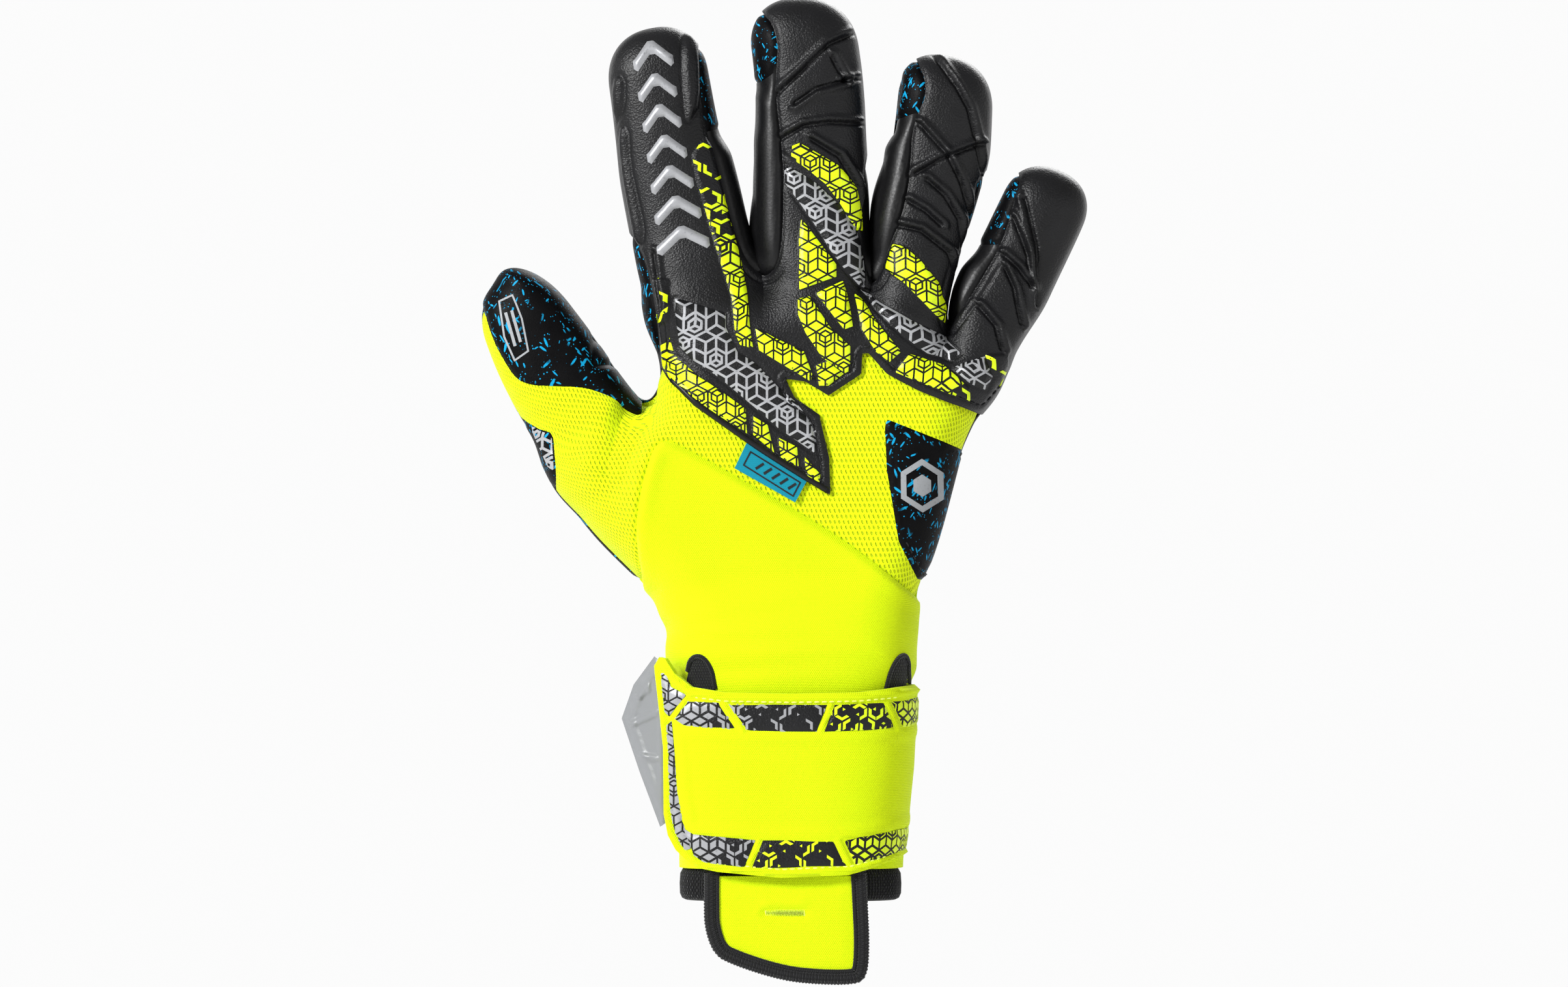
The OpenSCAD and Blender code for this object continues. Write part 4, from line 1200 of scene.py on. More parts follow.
def sweep(name, path, normal, half_w, half_t, material, slot, closed=False, sides=10, wave=None,
          power=2.0):
    """A band or tube along a path. normal is the way up at each point."""
    p = np.asarray(path, float)
    nxt, prv = np.roll(p, -1, axis=0), np.roll(p, 1, axis=0)
    if not closed:
        nxt[-1], prv[0] = 2 * p[-1] - p[-2], 2 * p[0] - p[1]
    d = unit(nxt - prv)
    n = np.asarray(normal, float) * np.ones_like(p)
    n = unit(n - d * (n * d).sum(axis=1)[:, None])
    side = np.cross(d, n)
    ang = 2 * math.pi * np.arange(sides) / sides
    cx = np.sign(np.cos(ang)) * np.abs(np.cos(ang)) ** (2 / power)
    cy = np.sign(np.sin(ang)) * np.abs(np.sin(ang)) ** (2 / power)
    grow = 1 if wave is None else wave[:, None, None]
    V = (p[:, None] + (side[:, None] * (cx * half_w)[None, :, None]
                       + n[:, None] * (cy * half_t)[None, :, None]) * grow)
    m = len(p)
    F = []
    for i in range(m if closed else m - 1):
        a, b = i * sides, ((i + 1) % m) * sides
        F += [(a + k, a + (k + 1) % sides, b + (k + 1) % sides, b + k) for k in range(sides)]
    if not closed:
        F += [tuple(range(sides))[::-1], tuple((m - 1) * sides + k for k in range(sides))]
    V = V.reshape(-1, 3)
    weave = np.stack([np.repeat(run_of(p), sides), np.tile(ang, m) * half_w,
                      np.zeros(m * sides)], 1)
    return make_object(name, V, F, material, V, weave, None, slot)


STITCH = ((0, .35, -.5), (.15, .9, .2), (.5, 1, .5), (.85, .9, .2), (1, .35, -.5))
STITCH_SIDES = 6


def stitch_row(points, normals, pitch, length, radius):
    """Vertices and faces of a row of thread stitches along a line on a surface.

    STITCH gives each ring's place along a stitch, its radius and its height, as shares."""
    p = np.asarray(points, float)
    run = run_of(p)
    V, F, sides = [], [], STITCH_SIDES
    at = lambda s, rows=p: np.array([np.interp(s, run, rows[:, k]) for k in range(3)])
    for start in np.arange(pitch * 0.3, run[-1] - length, pitch):
        a, b = at(start), at(start + length)
        n = unit(at(start + length / 2, normals)[None])[0]
        d = (b - a) / max(np.linalg.norm(b - a), 1e-6)
        w = np.cross(d, n)
        base = len(V)
        for q, r, lift in STITCH:
            c = a + (b - a) * q + n * radius * lift
            for k in range(sides):
                g = math.pi / 3 * k
                V.append(c + radius * r * (w * math.cos(g) + n * 0.8 * math.sin(g)))
        for i in range(len(STITCH) - 1):
            for k in range(sides):
                u, v = base + i * sides + k, base + i * sides + (k + 1) % sides
                F.append((u, v, v + sides, u + sides))
        F += [tuple(base + k for k in range(sides))[::-1],
              tuple(len(V) - sides + k for k in range(sides))]
    return np.array(V), F


def normals_of(place, x, z, h):
    """The way out of a mapped surface, from small steps on it."""
    e = 0.4
    hh = np.full(x.shape, float(h))
    return unit(np.cross(place(x + e, z, hh) - place(x - e, z, hh),
                         place(x, z + e, hh) - place(x, z - e, hh)))


def along(points, step):
    """Evenly spaced points on a line."""
    p = np.asarray(points, float)
    run = run_of(p)
    s = np.linspace(0, run[-1], max(2, int(run[-1] / step) + 1))
    return np.stack([np.interp(s, run, p[:, k]) for k in range(p.shape[1])], axis=1)


# ---------------------------------------------------------------- more materials

def make_print(name, colour, worn, rough, metal=0.0):
    sh = Shader(name, Roughness=rough, Metallic=metal, Specular_IOR_Level=0.35)
    p = sh.coords()
    n = sh.noise(p, 0.9, 4, 0.7)
    sh.link(sh.ramp(n, (0.56, colour), (0.72, worn)), "Base Color")
    sh.bumps((n, 0.00008, 0.5))
    return sh.mat


YELLOW_PRINT = make_print("yellow_print", rgb(206, 230, 0), rgb(172, 190, 60), 0.42)
SILVER_PRINT = make_print("silver_print", rgb(158, 159, 162), rgb(116, 117, 120), 0.42, 0.3)
SILVER_RAISED = make_print("silver_raised", rgb(150, 151, 154), rgb(120, 121, 124), 0.4, 0.35)
GREY_PRINT = make_print("grey_print", rgb(140, 143, 146), rgb(118, 120, 123), 0.6)


def make_plain(name, colour, rough, bump_scale=2.0, bump_height=0.0001, spec=0.3):
    sh = Shader(name, Roughness=rough, Specular_IOR_Level=spec, Base_Color=colour)
    sh.bumps((sh.noise(sh.coords(), bump_scale, 3), bump_height, 0.5))
    return sh.mat


BLACK_THREAD = make_plain("black_thread", rgb(20, 20, 22), 0.6, 6)
YELLOW_THREAD = make_plain("yellow_thread", rgb(238, 255, 110), 0.6, 6)
LINING = make_plain("lining", rgb(40, 40, 42), 0.9, 4, 0.0003, 0.1)


def make_ribbed(name, colour, px, pz, turn):
    sh = Shader(name, Roughness=0.75, Specular_IOR_Level=0.2, Sheen_Weight=0.15,
                Sheen_Roughness=0.5)
    dots = weave_dots(sh, sh.coords("weave"), px, pz, turn, px * 0.28, pz * 0.45)
    sh.link(sh.mix(dots, rgb(8, 8, 9), colour), "Base Color")
    sh.bumps((dots, 0.0003, 0.8))
    return sh.mat


BINDING = make_ribbed("binding", rgb(30, 30, 33), 0.55, 1.3, 0.35)
ELASTIC = make_ribbed("elastic", rgb(26, 26, 29), 0.5, 0.9, 0.0)


def make_hook_loop():
    sh = Shader("hook_and_loop", Roughness=0.95, Specular_IOR_Level=0.1, Sheen_Weight=0.4,
                Sheen_Roughness=0.6)
    p = sh.coords()
    n = sh.noise(p, 3.5, 4, 0.8)
    sh.link(sh.ramp(n, (0.35, rgb(12, 12, 13)), (0.7, rgb(42, 42, 45))), "Base Color")
    sh.bumps((n, 0.0007, 0.9))
    return sh.mat


def make_silicone():
    sh = Shader("silicone", Roughness=0.38, Base_Color=rgb(120, 122, 124),
                Subsurface_Weight=0.25, Subsurface_Radius=(0.003, 0.003, 0.003))
    sh.bumps((sh.noise(sh.coords(), 1.5, 3), 0.00012, 0.4))
    return sh.mat


def make_label():
    sh = Shader("label", Roughness=0.7, Specular_IOR_Level=0.2)
    dots = weave_dots(sh, sh.coords("weave"), 0.3, 0.3, 0.0, 0.1, 0.1)
    sh.link(sh.mix(dots, rgb(4, 118, 140), rgb(8, 150, 172)), "Base Color")
    sh.bumps((dots, 0.0001, 0.5))
    return sh.mat


HOOK_LOOP, SILICONE, LABEL = make_hook_loop(), make_silicone(), make_label()


# ---------------------------------------------------------------- prints on the panel

def fade(x, z):
    """0 where the print is full, 1 where its cells have shrunk to specks."""
    left = ramp(z, 186, 224) * (x < -13)
    low_left = ramp(-x + 0.25 * (z - 170), 31, 41) * (z < 192)
    right = max(ramp(x, 46, 58) * (z < 172), ramp(-x, -6, 3) * (z > 215))
    return float(min(1, max(left, low_left, right)))


def on_glove(name, kind, V2, F, top, bottom, material, slot):
    """Slabs over panels of one kind, one for each moving part that they lie on."""
    place = hand_map(kind)
    for part_name, Fp in by_part(V2, F, place).items():
        obj = slab(f"{name}_{part_name}", V2, Fp, place, top, bottom, material, slot)
        body_to(obj, part_name)


box_of = lambda region: (region.points.min(axis=0), region.points.max(axis=0))
cells = lambda region: hex_cells(box_of(region), 5.6, fade)
lines = lambda region: hex_lines(box_of(region), 6.2, lambda x, z: 0.72 - 0.16 * fade(x, z))
for name, zones, shapes_of, top, material, slot in (
        ("yellow_cells", YELLOW, cells, 0.22, YELLOW_PRINT, "yellow_print"),
        ("silver_lines", SILVER, lines, 0.12, SILVER_PRINT, "silver_print")):
    printed = [triangles_in(region.points, shapes_of(region)) for region in zones]
    on_glove(name, "panel", *merge(*[q for q in printed if len(q[1])]), top, -0.25, material,
             slot)


def index_marks():
    """A row of raised chevrons along the index finger."""
    a, b = np.array([-41.9, 261.5]), np.array([-31.2, 196.0])
    d = (a - b) / np.linalg.norm(a - b)
    w = np.array([d[1], -d[0]])
    total = np.linalg.norm(a - b)
    shapes = []
    for i in range(7):
        s = (i + 0.12) * total / 7
        half = 0.5 * (15.4 - 3.2 * s / total) - 1.1 * math.sin(math.pi * s / total)
        c = b + d * s - w * (0.3 + 0.7 * math.sin(math.pi * s / total))
        rise, thick, nip = 4.2, 3.9, 1.0
        shapes.append([c - w * (half - nip), c - w * half + d * nip * 0.8,
                       c - w * half + d * (thick - 0.8 * nip), c - w * (half - nip) + d * thick,
                       c + d * (rise + thick) - w * 0.9, c + d * (rise + thick) + w * 0.9,
                       c + w * (half - nip) + d * thick, c + w * half + d * (thick - 0.8 * nip),
                       c + w * half + d * nip * 0.8, c + w * (half - nip),
                       c + d * rise + w * 0.9, c + d * rise - w * 0.9])
    return [[tuple(p) for p in q] for q in shapes]


marks = index_marks()
mark_regions = [Region(p, 0, 0.4, 3) for p in marks]


def mark_height(x, z):
    d = np.minimum.reduce([r(x, z) for r in mark_regions])
    return 1.15 * ramp(-d, -0.4, 1.1) - 0.1


on_glove("index_bars", "panel", *merge(*[triangles_in(m, None, 0.7) for m in marks]),
         mark_height, -0.3, SILVER_RAISED, "silver_print")


# ---------------------------------------------------------------- stitching on the hand

def offset_line(region, points, g):
    """The points moved straight to where the region's edge is g away, inside it."""
    p = np.asarray(points, float)
    e = 0.5
    x, z = p.T
    n = np.stack([region(x + e, z) - region(x - e, z), region(x, z + e) - region(x, z - e)], 1)
    n /= np.maximum(np.linalg.norm(n, axis=1), 1e-6)[:, None]
    return p - n * (region(x, z) + g)[:, None]


def sewn(name, kind, points, pitch, length, radius, lift, material, slot):
    place = hand_map(kind)
    q = along(points, 0.8)
    x, z = q.T
    h = np.full(len(q), lift)
    V, F = stitch_row(place(x, z, h), normals_of(place, x, z, lift), pitch, length, radius)
    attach(make_object(name, V, F, material, V, None, None, slot), "hand")


border = [(64.5, 157.4), (61.2, 149.8), (58.4, 148), (47.2, 151.8), (39, 155.1), (29.8, 160),
          (22.4, 168.4), (22, 160), (12, 153.4), (5, 157.6), (-1.2, 158.6), (1.6, 152.8),
          (9.1, 147.6), (12.2, 134.4), (12.6, 122.8), (1.6, 129.4), (-10, 136.8), (-20.8, 144.4),
          (-29, 150.2), (-36.5, 158.4)]
border = chaikin(border, 1, False)
sewn("panel_stitches", "panel", chaikin(offset_line(PANEL, border, 2.5), 1, False), 2.6, 2.0,
     0.32, 0.05, BLACK_THREAD, "binding")
patch_line = offset_line(OUTER_PATCH, OUTER_PATCH.points[4:-2], 1.8)
sewn("outer_patch_stitches", "outer_patch", patch_line[np.abs(patch_line[:, 0]) < 50], 2.6, 1.9,
     0.3, 0.0, BLACK_THREAD, "binding")

# A glossy rolled edge on the panel's lower left border.
place = hand_map("panel")
q = along(chaikin(offset_line(PANEL, [(12.0, 124.4), (1.6, 129.4), (-10, 136.8), (-20.8, 144.4),
                                      (-29, 150.2), (-35.5, 157.4)], 0.9), 2, False), 0.9)
x, z = q.T
pipe = sweep("panel_piping", place(x, z, np.full(len(q), 0.1)), normals_of(place, x, z, 0), 1.0,
             0.75, MATERIAL["tube"], "embossed_panel", sides=10)
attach(pipe, "hand")


# ---------------------------------------------------------------- badge, thumb mark and label

def ring_shape(cx, cz, rx, rz, turn=0.0):
    return [(cx + rx * math.sin(math.pi / 3 * k + turn), cz + rz * math.cos(math.pi / 3 * k + turn))
            for k in range(6)]


def band_shapes(points, width, closed=True):
    """A thin quad for each side of a line."""
    p = [np.array(q, float) for q in points]
    out = []
    for a, b in zip(p, p[1:] + p[:1] if closed else p[1:]):
        d = (b - a) / np.linalg.norm(b - a)
        n = np.array([-d[1], d[0]]) * width / 2
        e = d * width * 0.3
        out.append([tuple(a - e - n), tuple(b + e - n), tuple(b + e + n), tuple(a - e + n)])
    return out


MARK_BOTTOM = -0.2     # small marks start this far in
square = [(25, 100), (62, 100), (62, 150), (25, 150)]
badge = band_shapes(ring_shape(40.2, 126.0, 6.2, 7.2), 1.6) + [ring_shape(40.2, 126.0, 2.9, 3.4)]
on_glove("outer_patch_badge", "outer_patch", *triangles_in(square, badge), 0.25, MARK_BOTTOM,
         GREY_PRINT, "silver_print")
square = [(-100, 155), (-75, 155), (-75, 195), (-100, 195)]
c = np.array([-85.4, 173.5])
tall = [tuple(c + q) for q in ((-3.2, 8.6), (0.8, 10.6), (3.6, 3.4), (5.6, -6.4), (1.6, -9.2),
                               (-1.6, -2.0))]
thumb_mark = (band_shapes(tall, 0.55)
              + band_shapes([c + (-1.2, 5), c + (1.6, -4.6)], 0.9, False)
              + band_shapes([c + (0.6, 5.6), c + (3.2, -3.4)], 0.9, False))
on_glove("thumb_mark", "latex", *triangles_in(square, thumb_mark), 0.12, MARK_BOTTOM, GREY_PRINT,
         "silver_print")
thumb_zone = [(-79, 144.2), (-76.6, 142.7), (-73.5, 141.7), (-72.7, 140.2), (-72.1, 130.6),
              (-73.6, 132), (-77.2, 140)]
thumb_lines = hex_lines(box_of(THUMB_PATCH), 5.4, lambda x, z: 0.8)
on_glove("thumb_patch_print", "thumb_patch", *triangles_in(thumb_zone, thumb_lines), 0.12,
         MARK_BOTTOM, SILVER_PRINT, "silver_print")


def on_label(obj):
    """Bakes the label's place into its mesh; its shape already bends just below its sewn edge."""
    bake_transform(obj)


place = hand_map("knit")
label_out = [(-12.9, 139.2), (5.6, 127.8), (1.8, 120.8), (-16.7, 131.2)]
d = np.array([0.85, -0.526])                   # along the label
V2, F = triangles_in(label_out)
label_lift = lambda x, z: 1.35 + 0.5 * ramp(-(x * 0.526 + z * 0.85), -108.5, -103.2)
woven_label = slab("woven_label", V2, F, place, label_lift,
                   lambda x, z: label_lift(x, z) - 0.5, LABEL, "label")
on_label(woven_label)
o, v = np.array([-16.0, 131.6]), np.array([0.46, 0.88])
frame_line = [o + d * 1.6 + v * 1.6, o + d * 19.4 + v * 1.5, o + d * 19.4 + v * 6.2,
              o + d * 1.6 + v * 6.2]
stripes = band_shapes(frame_line, 0.45)
for k in range(5):
    stripes += band_shapes([o + d * (5.5 + 2.9 * k) + v * 2.8, o + d * (6.7 + 2.9 * k) + v * 5.0],
                           0.8, False)
V2, F = triangles_in(label_out, stripes)
on_label(slab("label_stripes", V2, F, place, lambda x, z: label_lift(x, z) + 0.12,
              lambda x, z: label_lift(x, z) - 0.1, BLACK_THREAD, "label"))


# ---------------------------------------------------------------- strap

TOP_EDGE = [(-42.0, 71), (-40.6, 73.6), (-38.6, 73.2), (-35.5, 68.6), (-30.3, 64.6), (-20, 63),
            (0, 62.6), (20, 63), (36, 64.4), (48, 65)]
LOW_EDGE = [(48, 12.5), (40, 12.2), (34.3, 10.9), (19.3, 7.4), (-3, 6.6), (-22.4, 8.4),
            (-28.7, 9.7), (-32.2, 12.2), (-35.2, 15), (-37.6, 19.4), (-38.9, 26), (-39.2, 46)]
JOIN = 46.0                                     # the flap meets the sewn part here
flap_outline = TOP_EDGE[:-1] + [(JOIN, 64.9), (JOIN, 12.4)] + LOW_EDGE[1:]
PALM_END = float(np.interp(3.72, T_TABLE, S_TABLE))
anchor_outline = [(JOIN, 64.9), (48, 65), (100, 64.4), (PALM_END, 63), (PALM_END, 13),
                  (100, 12.5), (48, 12.5), (JOIN, 12.4)]
whole = Region(TOP_EDGE + [(100, 64.4), (PALM_END, 63), (PALM_END, 13), (100, 12.5)] + LOW_EDGE)
TRIMS = {
    "upper_1": [(-31.2, 60.3), (-21.8, 59.9), (-15.7, 51.3), (-32.4, 52.9), (-35.3, 54.9)],
    "upper_2": [(-19.2, 59.5), (10.7, 59.2), (7.6, 51.1), (-13.4, 51.1)],
    "upper_3": [(13, 59.2), (28.3, 59.8), (33.0, 51.8), (10.0, 51.1)],
    "upper_4": [(30.6, 60.2), (47, 61.4), (64, 60.6), (60, 52.6), (50, 53.0), (36, 52.0)],
    "lower_1": [(-32.6, 21.6), (-29.6, 19.8), (-10.7, 18.1), (-14.1, 9.9), (-26.4, 11.2),
                (-29.4, 13.4)],
    "lower_2": [(-8.4, 18.0), (14.1, 18.1), (18.4, 10.1), (-11.8, 9.6)],
    "lower_3": [(16.6, 18.3), (37, 20.8), (50, 21.4), (62, 21.2), (66, 14.6), (50, 14.4),
                (37, 13.4), (21.4, 10.4)],
    "corner": [(-39.6, 68.6), (-38.2, 69.2), (-36.4, 64.6), (-31.8, 62.2), (-37.0, 55.6),
               (-38.6, 57.3), (-39.4, 63.2)],
    "end": [(-36.2, 54.2), (-35.4, 45.5), (-34.5, 33), (-32.8, 23.8), (-30.4, 15.4),
            (-32.6, 14.8), (-35.4, 20.4), (-37.2, 29), (-37.8, 45.5), (-38.0, 52.7)],
}
trim_regions = {k: Region(v, 0, 0.4, 6) for k, v in TRIMS.items()}


def strap_height(x, z):
    near = np.minimum.reduce([r(x, z) for r in trim_regions.values()])
    edge = -whole(x, z)
    h = 0.45 * ramp(near, -0.1, 0.9) - 0.45 * ramp(near, 2.2, 5)
    h += 0.55 * bump(edge - 1.4, 1.0) - 0.35 * bump(edge - 2.9, 0.5)
    h -= 1.0 * bump(edge, 0.5)
    h += 0.18 * np.sin(0.11 * x + 0.3) * np.sin(0.09 * z)
    return h


NEO = MATERIAL["neoprene"]
STRAP_BACK = -2.7                               # the strap's inner face
V2, F = triangles_in(flap_outline, None, 1.1)
flap = slab("strap_flap", V2, F, strap_map, strap_height, STRAP_BACK, NEO, "neoprene", True)
V2, F = triangles_in(anchor_outline, None, 1.4)
anchor = slab("strap_sewn_part", V2, F, strap_map, strap_height, STRAP_BACK, NEO, "neoprene", True)
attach(anchor, "cuff")
strap_objects, trim_objects = [flap], []


def on_strap(name, V2, F, top, bottom, material, slot):
    """Pieces on the strap: the part past the join stays on the cuff."""
    mid = V2[F].mean(axis=1)[:, 0]
    for tag, rows in (("flap", mid <= JOIN), ("sewn", mid > JOIN)):
        if not rows.any():
            continue
        obj = slab(f"{name}_{tag}", V2, F[rows], strap_map, top, bottom, material, slot, True)
        if tag == "flap":
            strap_objects.append(obj)
        else:
            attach(obj, "cuff")
        trim_objects.append(obj)


def trim_cells(key):
    """The hexagonal cells of a trim band. Their amount of wear runs along it."""
    amount = {"upper_1": lambda x: 0.1 + 0.6 * ramp(x, -30, -16),
              "upper_2": lambda x: 0.6 + 0.3 * ramp(x, -18, -8),
              "upper_3": lambda x: 0.85 - 0.45 * ramp(x, 10, 30),
              "upper_4": lambda x: 0.2,
              "lower_1": lambda x: 0.1 + 0.6 * ramp(x, -28, -12),
              "lower_2": lambda x: 0.8,
              "lower_3": lambda x: 0.4 - 0.25 * ramp(x, 20, 34),
              "corner": lambda x: 0.0, "end": lambda x: 0.0}[key]
    return hex_cells(box_of(trim_regions[key]), 5.2, lambda x, z: float(amount(np.array(x))))


for key, outline in TRIMS.items():
    V2, F = triangles_in(outline, None, 1.1)
    region = trim_regions[key]
    pillow = lambda x, z, region=region: 0.05 + 0.4 * ramp(-region(x, z), -0.2, 1.6)
    on_strap("trim_" + key, V2, F, pillow, -0.4, MATERIAL["panel"], "embossed_panel")
    V2, F = triangles_in(outline, trim_cells(key), 1.1)
    if len(F):
        silver = key in ("upper_1", "upper_2", "lower_1", "corner", "end")
        on_strap("trim_print_" + key, V2, F, lambda x, z, pillow=pillow: pillow(x, z) + 0.12,
                 lambda x, z, pillow=pillow: pillow(x, z) - 0.15,
                 SILVER_RAISED if silver else YELLOW_PRINT,
                 "silver_print" if silver else "yellow_print")
for name, points in (
        ("strap_low_stitches", [(-28, 12.4), (-22.4, 10.9), (-3, 9.2), (19.3, 10.0), (35, 13.4)]),
        ("strap_top_stitches", [(-30, 61.6), (-20, 60.4), (0, 60.0), (20, 60.4), (35, 61.6)])):
    x, z = along(points, 0.8).T
    V, F = stitch_row(strap_map(x, z, strap_height(x, z) - 0.05),
                      normals_of(strap_map, x, z, 0), 2.3, 1.7, 0.28)
    strap_objects.append(make_object(name, V, F, YELLOW_THREAD, V, None, None, "binding"))
V2, F = triangles_in([(-33, 18), (-28, 15), (4, 14), (4, 56), (-33, 58)], None, 1.4)
hook = slab("hook_patch", V2, F, strap_map, -2.6, -3.4, HOOK_LOOP, "hook_and_loop", True)
strap_objects.append(hook)
for obj in strap_objects:
    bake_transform(obj)

place = hand_map("neoprene")
V2, F = triangles_in([(-24, 16), (18, 16), (18, 56), (-24, 56)], None, 1.4)
loop = slab("loop_patch", V2, F, place, 0.8, -0.3, HOOK_LOOP, "hook_and_loop")
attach(loop, "cuff")
for name, mapping, corners, h in (
        ("loop_patch_stitches", place,
         [(-22.6, 17.4), (16.6, 17.4), (16.6, 54.6), (-22.6, 54.6)], 0.85),
        ("hook_patch_stitches", strap_map,
         [(-31.4, 18.8), (2.6, 15.4), (2.6, 54.8), (-31.4, 56.4)], -3.45)):
    x, z = along(corners + corners[:1], 0.8).T
    n = normals_of(mapping, x, z, 0)
    V, F = stitch_row(mapping(x, z, np.full(len(x), h)), n if h > 0 else -n, 2.2, 1.6, 0.22)
    obj = make_object(name, V, F, BLACK_THREAD, V, None, None, "binding")
    if h > 0:
        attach(obj, "cuff")
    else:
        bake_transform(obj)

vent_objects = []
for tag, shape in (("left", [(-30.8, 58), (-30.8, 69.5), (-29.8, 73), (-27.6, 74.4), (-25.2, 73.2),
                             (-23.4, 69.6), (-22.2, 64), (-21.4, 58)]),
                   ("right", [(27.6, 58), (28.8, 64), (30.2, 69.6), (32, 73.2), (34.2, 74.4),
                              (35.3, 73), (35.8, 69.5), (35.8, 62), (35.6, 58)])):
    V2, F = triangles_in(chaikin(shape, 1), None, 0.8)
    obj = slab("vent_" + tag, V2, F, place, lambda x, z: 0.15 + 0.12 * np.sin(x * 5.2), -0.6,
               ELASTIC, "elastic")
    q = along(chaikin(shape[1:-1], 2, False), 0.6)
    x, z = q.T
    rim = sweep("vent_rim_" + tag, place(x, z, np.full(len(q), 0.15)),
                normals_of(place, x, z, 0), 0.75, 0.6, BINDING, "binding", sides=8)
    vent_objects += [obj, rim]
for obj in vent_objects:                         # their places are baked into their meshes
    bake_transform(obj)


# ---------------------------------------------------------------- grip tab

TAB = [(-36.4, 70), (-41.2, 73.8), (-47.6, 65.1), (-51.3, 54.7), (-45.8, 38.6), (-39.4, 21.8),
       (-36.4, 24)]
tab_region = Region(TAB, 0, 0.4, 4)
tab_bars = [Region(q, 0, 0.4, 4) for q in (
    [(-48.9, 53.6), (-48.4, 51.8), (-40, 55.6), (-40, 58.4)],
    [(-47.6, 61.8), (-45.8, 60.2), (-42.2, 63.2), (-42.6, 66.0), (-44.2, 64.2)],
    [(-46.2, 44.4), (-45.8, 42.8), (-40, 41.4), (-40, 43.6)])]


def tab_height(x, z):
    d = -tab_region(x, z)
    h = 2.2 - 1.3 * (1 - ramp(d, 0, 2.6)) * (x < -39) - 0.4 * ramp(d, 3.4, 4.0)
    for r in tab_bars:
        h += 0.8 * ramp(-r(x, z), -0.3, 0.5)
    return h + 0.35 * ramp(x + 0.35 * z, -22, -21)


V2, F = triangles_in(TAB, None, 0.6)
tab = slab("grip_tab", V2, F, flat_map(-18.2, -39.2, 0.7), tab_height, 0.0, SILICONE, "silicone")
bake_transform(tab)


# ---------------------------------------------------------------- cuff's lower end

def ring_solid(name, rows, material, slot, ribs=0.0, pitch=1.3, sides=420):
    """A closed ring round the wrist from rows of (height, half width, half depth, share of the
    ribs), outside first, then inside."""
    t = 2 * math.pi * np.arange(sides) / sides
    V = []
    for z, a, b, wave in rows:
        x, y = super_xy(t, a, b)
        w = ribs * wave * np.cos(t * round(190 / pitch))
        k = 1 + w / 30
        V.append(np.stack([CUFF_X + (x - CUFF_X) * k, y * k, np.full(sides, z)], axis=1))
    m = len(rows)
    V = np.concatenate(V)
    F = []
    for i in range(m):
        j = (i + 1) % m
        for k in range(sides):
            q = (k + 1) % sides
            F.append((i * sides + k, j * sides + k, j * sides + q, i * sides + q))
    run = np.tile(t * 30, m)
    weave = np.stack([run, V[:, 2], np.zeros(len(V))], axis=1)
    return make_object(name, V, F, material, V, weave, None, slot)


elastic = ring_solid("inner_elastic", [
    (-0.9, 32.4, 21.4, 0), (-0.4, 33.2, 22, .6), (1, 33.7, 22.4, 1), (4, 33.8, 22.5, 1),
    (7, 33.6, 22.3, 1), (9.6, 32.2, 21.2, 1), (12, 29.8, 19.8, .6), (16, 29.6, 19.8, 0),
    (16, 28.6, 18.8, 0), (8, 29.4, 19, .5), (3, 31.6, 20.4, 1), (0, 31.8, 20.6, 1),
    (-0.7, 31.9, 20.9, .5)], ELASTIC, "elastic", 0.28, 1.35, 840)
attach(elastic, "cuff")
lining = ring_solid("hand_lining", [
    (14, 29.4, 19.6, 0), (30, 31, 20.8, 0), (50, 32, 21.2, 0), (66, 33.6, 21.6, 0),
    (66, 32.9, 20.9, 0), (50, 31.3, 20.5, 0), (30, 30.3, 20.1, 0), (14, 28.8, 19, 0)],
    LINING, "lining", sides=160)
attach(lining, "cuff")


# ---------------------------------------------------------------- pull tab

OUTER = [(-26, 9), (-26, -1), (-25.9, -9), (-22.9, -17.2), (-16.6, -20.3), (-4.5, -24.2),
         (5.2, -25.8), (20.3, -26.2), (23.9, -23.5), (24.5, -13.4), (23.9, -1.2), (23.4, 9)]
outer_line = chaikin(OUTER, 2, False)
outer_region = Region(np.vstack([outer_line, [(0, 11)]]), 0, 0.4, 6)


def tab_bend(x, z):
    """How far the pull tab stands off its plane."""
    return 0.35 * np.sin(0.12 * x + 0.4) + 0.5 * ramp(-z, 6, 26) - 0.6 * ramp(z, 0, 8)


def pull_height(x, z):
    pucker = bump(z + 4.1, 1.6) * ramp(6 - np.abs(x + 1.3), -2.5, 1)
    swirl = bump(np.hypot(x + 7.6, z + 4.1), 3.0) - bump(np.hypot(x + 7.6, z + 4.1), 1.2)
    edge = -outer_region(x, z)
    return (2.1 + 0.35 * ramp(edge, 4, 9) - 0.75 * pucker + 0.5 * bump(z + 1.4, 1.6)
            * ramp(7 - np.abs(x + 1.3), -2, 2) + 0.35 * swirl + tab_bend(x, z))


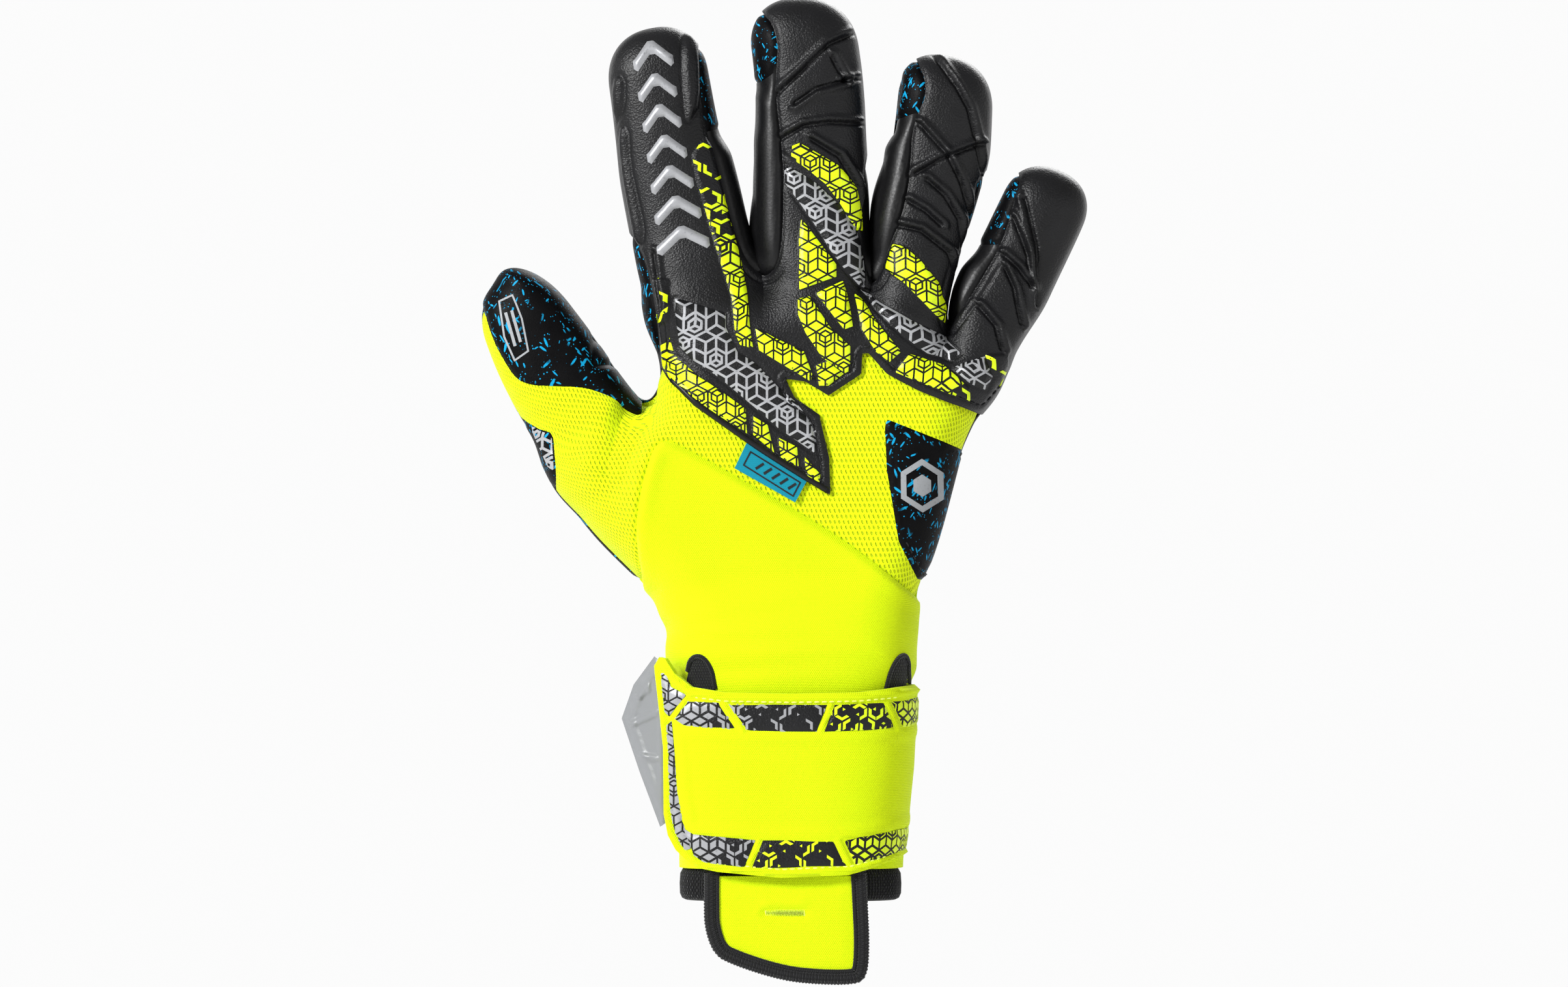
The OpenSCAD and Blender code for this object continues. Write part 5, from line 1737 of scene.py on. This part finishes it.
pull_objects = []
yellow_line = chaikin(offset_line(outer_region, outer_line, 3.0), 1, False)
V2, F = triangles_in(yellow_line[::2], None, 0.8)
place = flat_map(-23.6)
obj = slab("pull_tab", V2, F, place, pull_height, lambda x, z: tab_bend(x, z), NEO, "neoprene")
pull_objects.append(obj)
q = along(offset_line(outer_region, outer_line, 1.95), 0.24)
x, z = q.T
mid = place(x, z, 1.3 + tab_bend(x, z))
run = np.arange(len(q)) * 0.24
binding = sweep("pull_tab_binding", mid, (0, -1, 0), 1.95, 1.75, BINDING, "binding", sides=14,
                wave=1 + 0.07 * np.cos(run * 2 * math.pi / 0.96), power=2.6)
q = along(offset_line(outer_region, outer_line, 4.15), 0.5)
x, z = q.T
inner_pipe = sweep("pull_tab_piping", place(x, z, 2.45 + tab_bend(x, z)), (0, -1, 0), 0.55, 0.5,
                   BINDING, "binding", sides=8)
n = 52
x = np.linspace(-7.3, 4.7, n)
z = -4.1 + 0.95 * (1 - 2 * (np.arange(n) % 2))
tack = sweep("bar_tack", place(x, z, np.full(n, 1.95) + tab_bend(x, z)), (0, -1, 0), 0.27, 0.22,
             YELLOW_THREAD, "binding", sides=6)
pull_objects.append(tack)
for obj in pull_objects + [binding, inner_pipe]:
    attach(obj, "pull_tab_body")


# ---------------------------------------------------------------- stage

def make_floor():
    mesh = bpy.data.meshes.new("floor")
    n = 64
    ring = [(0.6 * math.cos(2 * math.pi * i / n), 0.6 * math.sin(2 * math.pi * i / n), -0.11)
            for i in range(n)]
    mesh.from_pydata(ring, [], [list(range(n))])
    sh = Shader("floor_white", Roughness=0.9)
    sh.bsdf.inputs["Base Color"].default_value = (0.95, 0.95, 0.95, 1)
    sh.bsdf.inputs["Specular IOR Level"].default_value = 0.0
    mesh.materials.append(sh.mat)
    obj = bpy.data.objects.new("floor", mesh)
    scene.collection.objects.link(obj)


def area(name, at, aim, size, power, colour=(1, 1, 1)):
    light = bpy.data.lights.new(name, "AREA")
    light.energy, light.size, light.color = power, size, colour
    obj = bpy.data.objects.new(name, light)
    obj.location = at
    obj.rotation_euler = (Vector(aim) - Vector(at)).to_track_quat("-Z", "Y").to_euler()
    scene.collection.objects.link(obj)


make_floor()
world = bpy.data.worlds.new("studio")
world.use_nodes = True
world.node_tree.nodes["Background"].inputs[0].default_value = (1, 1, 1, 1)
tree = world.node_tree            # a white backdrop, softer overhead and above the camera's side
way = tree.nodes.new("ShaderNodeSeparateXYZ")
tree.links.new(tree.nodes.new("ShaderNodeTexCoord").outputs["Generated"], way.inputs[0])


def level(value, start, end, first, last):
    soft = tree.nodes.new("ShaderNodeMapRange")
    soft.interpolation_type = "SMOOTHSTEP"
    for i, given in enumerate((value, start, end, first, last)):
        plug(tree, given, soft.inputs[i])
    return soft.outputs[0]


behind = level(way.outputs["Y"], -0.45, 0.15, 0.42, 0.97)
low = level(way.outputs["Z"], -0.03, 0.1, 0.97, behind)
tree.links.new(level(way.outputs["Z"], 0.18, 0.6, low, 0.4),
               tree.nodes["Background"].inputs[1])
scene.world = world
area("key", (-0.95, -0.9, 0.75), (0, 0, 0.12), 0.35, 30)
area("fill", (0.9, -0.9, 0.4), (0, 0, 0.12), 0.6, 1.5)
area("rim", (0.3, 0.9, 0.8), (0, 0, 0.15), 0.6, 6)

camera = bpy.data.cameras.new("camera")
camera.lens, camera.sensor_width = 220, 36
camera.clip_end = 200
cam = bpy.data.objects.new("camera", camera)
cam.location = (-0.0016, -2.944, 0.1235)
cam.rotation_euler = (math.pi / 2, 0, 0)
scene.collection.objects.link(cam)
scene.camera = cam
scene.view_settings.view_transform = "Standard"

# Each plain CAD solid is hidden; the table lists the piece that stands for it.
piece = bpy.data.objects.get
stand_ins = {
    "knit_back": "knit_hand", "neoprene_back": "neoprene_hand", "side_walls": "tube_hand",
    "palm_latex": "palm_hand", "palm_heel": "neoprene_hand",
    "knuckle_foam": "panel_hand", "knuckle_panel": "panel_hand",
    "yellow_pads": "yellow_cells_hand", "silver_pads": "silver_lines_hand",
    "outer_patch": "outer_patch_hand", "outer_patch_badge": "outer_patch_badge_hand",
    "thumb_patch": "thumb_patch_hand", "wrist_gaiter": "neoprene_hand",
    "cuff_back": "neoprene_hand", "cuff_palm": "neoprene_hand", "cuff_sides": "neoprene_hand",
    "index_bars_lower": "index_bars_index_low", "index_bars_upper": "index_bars_index_up",
}
for digit in DIGIT:
    for half, end in (("lower", "low"), ("upper", "up")):
        for side, kinds in (("back", ("panel", "latex", "knit")), ("grip", ("palm",)),
                            ("gussets", ("tube", "knit", "latex"))):
            names = [f"{kind}_{digit}_{end}" for kind in kinds]
            stand_ins[f"{digit}_{side}_{half}"] = next(name for name in names if piece(name))
for node, name in stand_ins.items():
    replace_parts(piece(name), node)
for obj, *nodes in (
        (lining, "hand_lining"), (elastic, "inner_elastic"), (vent_objects[0], "cuff_vents"),
        (loop, "loop_patch"), (anchor, "strap_anchor"), (flap, "strap_band"),
        (trim_objects[0], "strap_trims"), (hook, "hook_patch"), (tab, "grip_tab"),
        (pull_objects[0], "pull_tab"), (binding, "pull_tab_binding"), (woven_label, "label")):
    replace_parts(obj, *nodes)
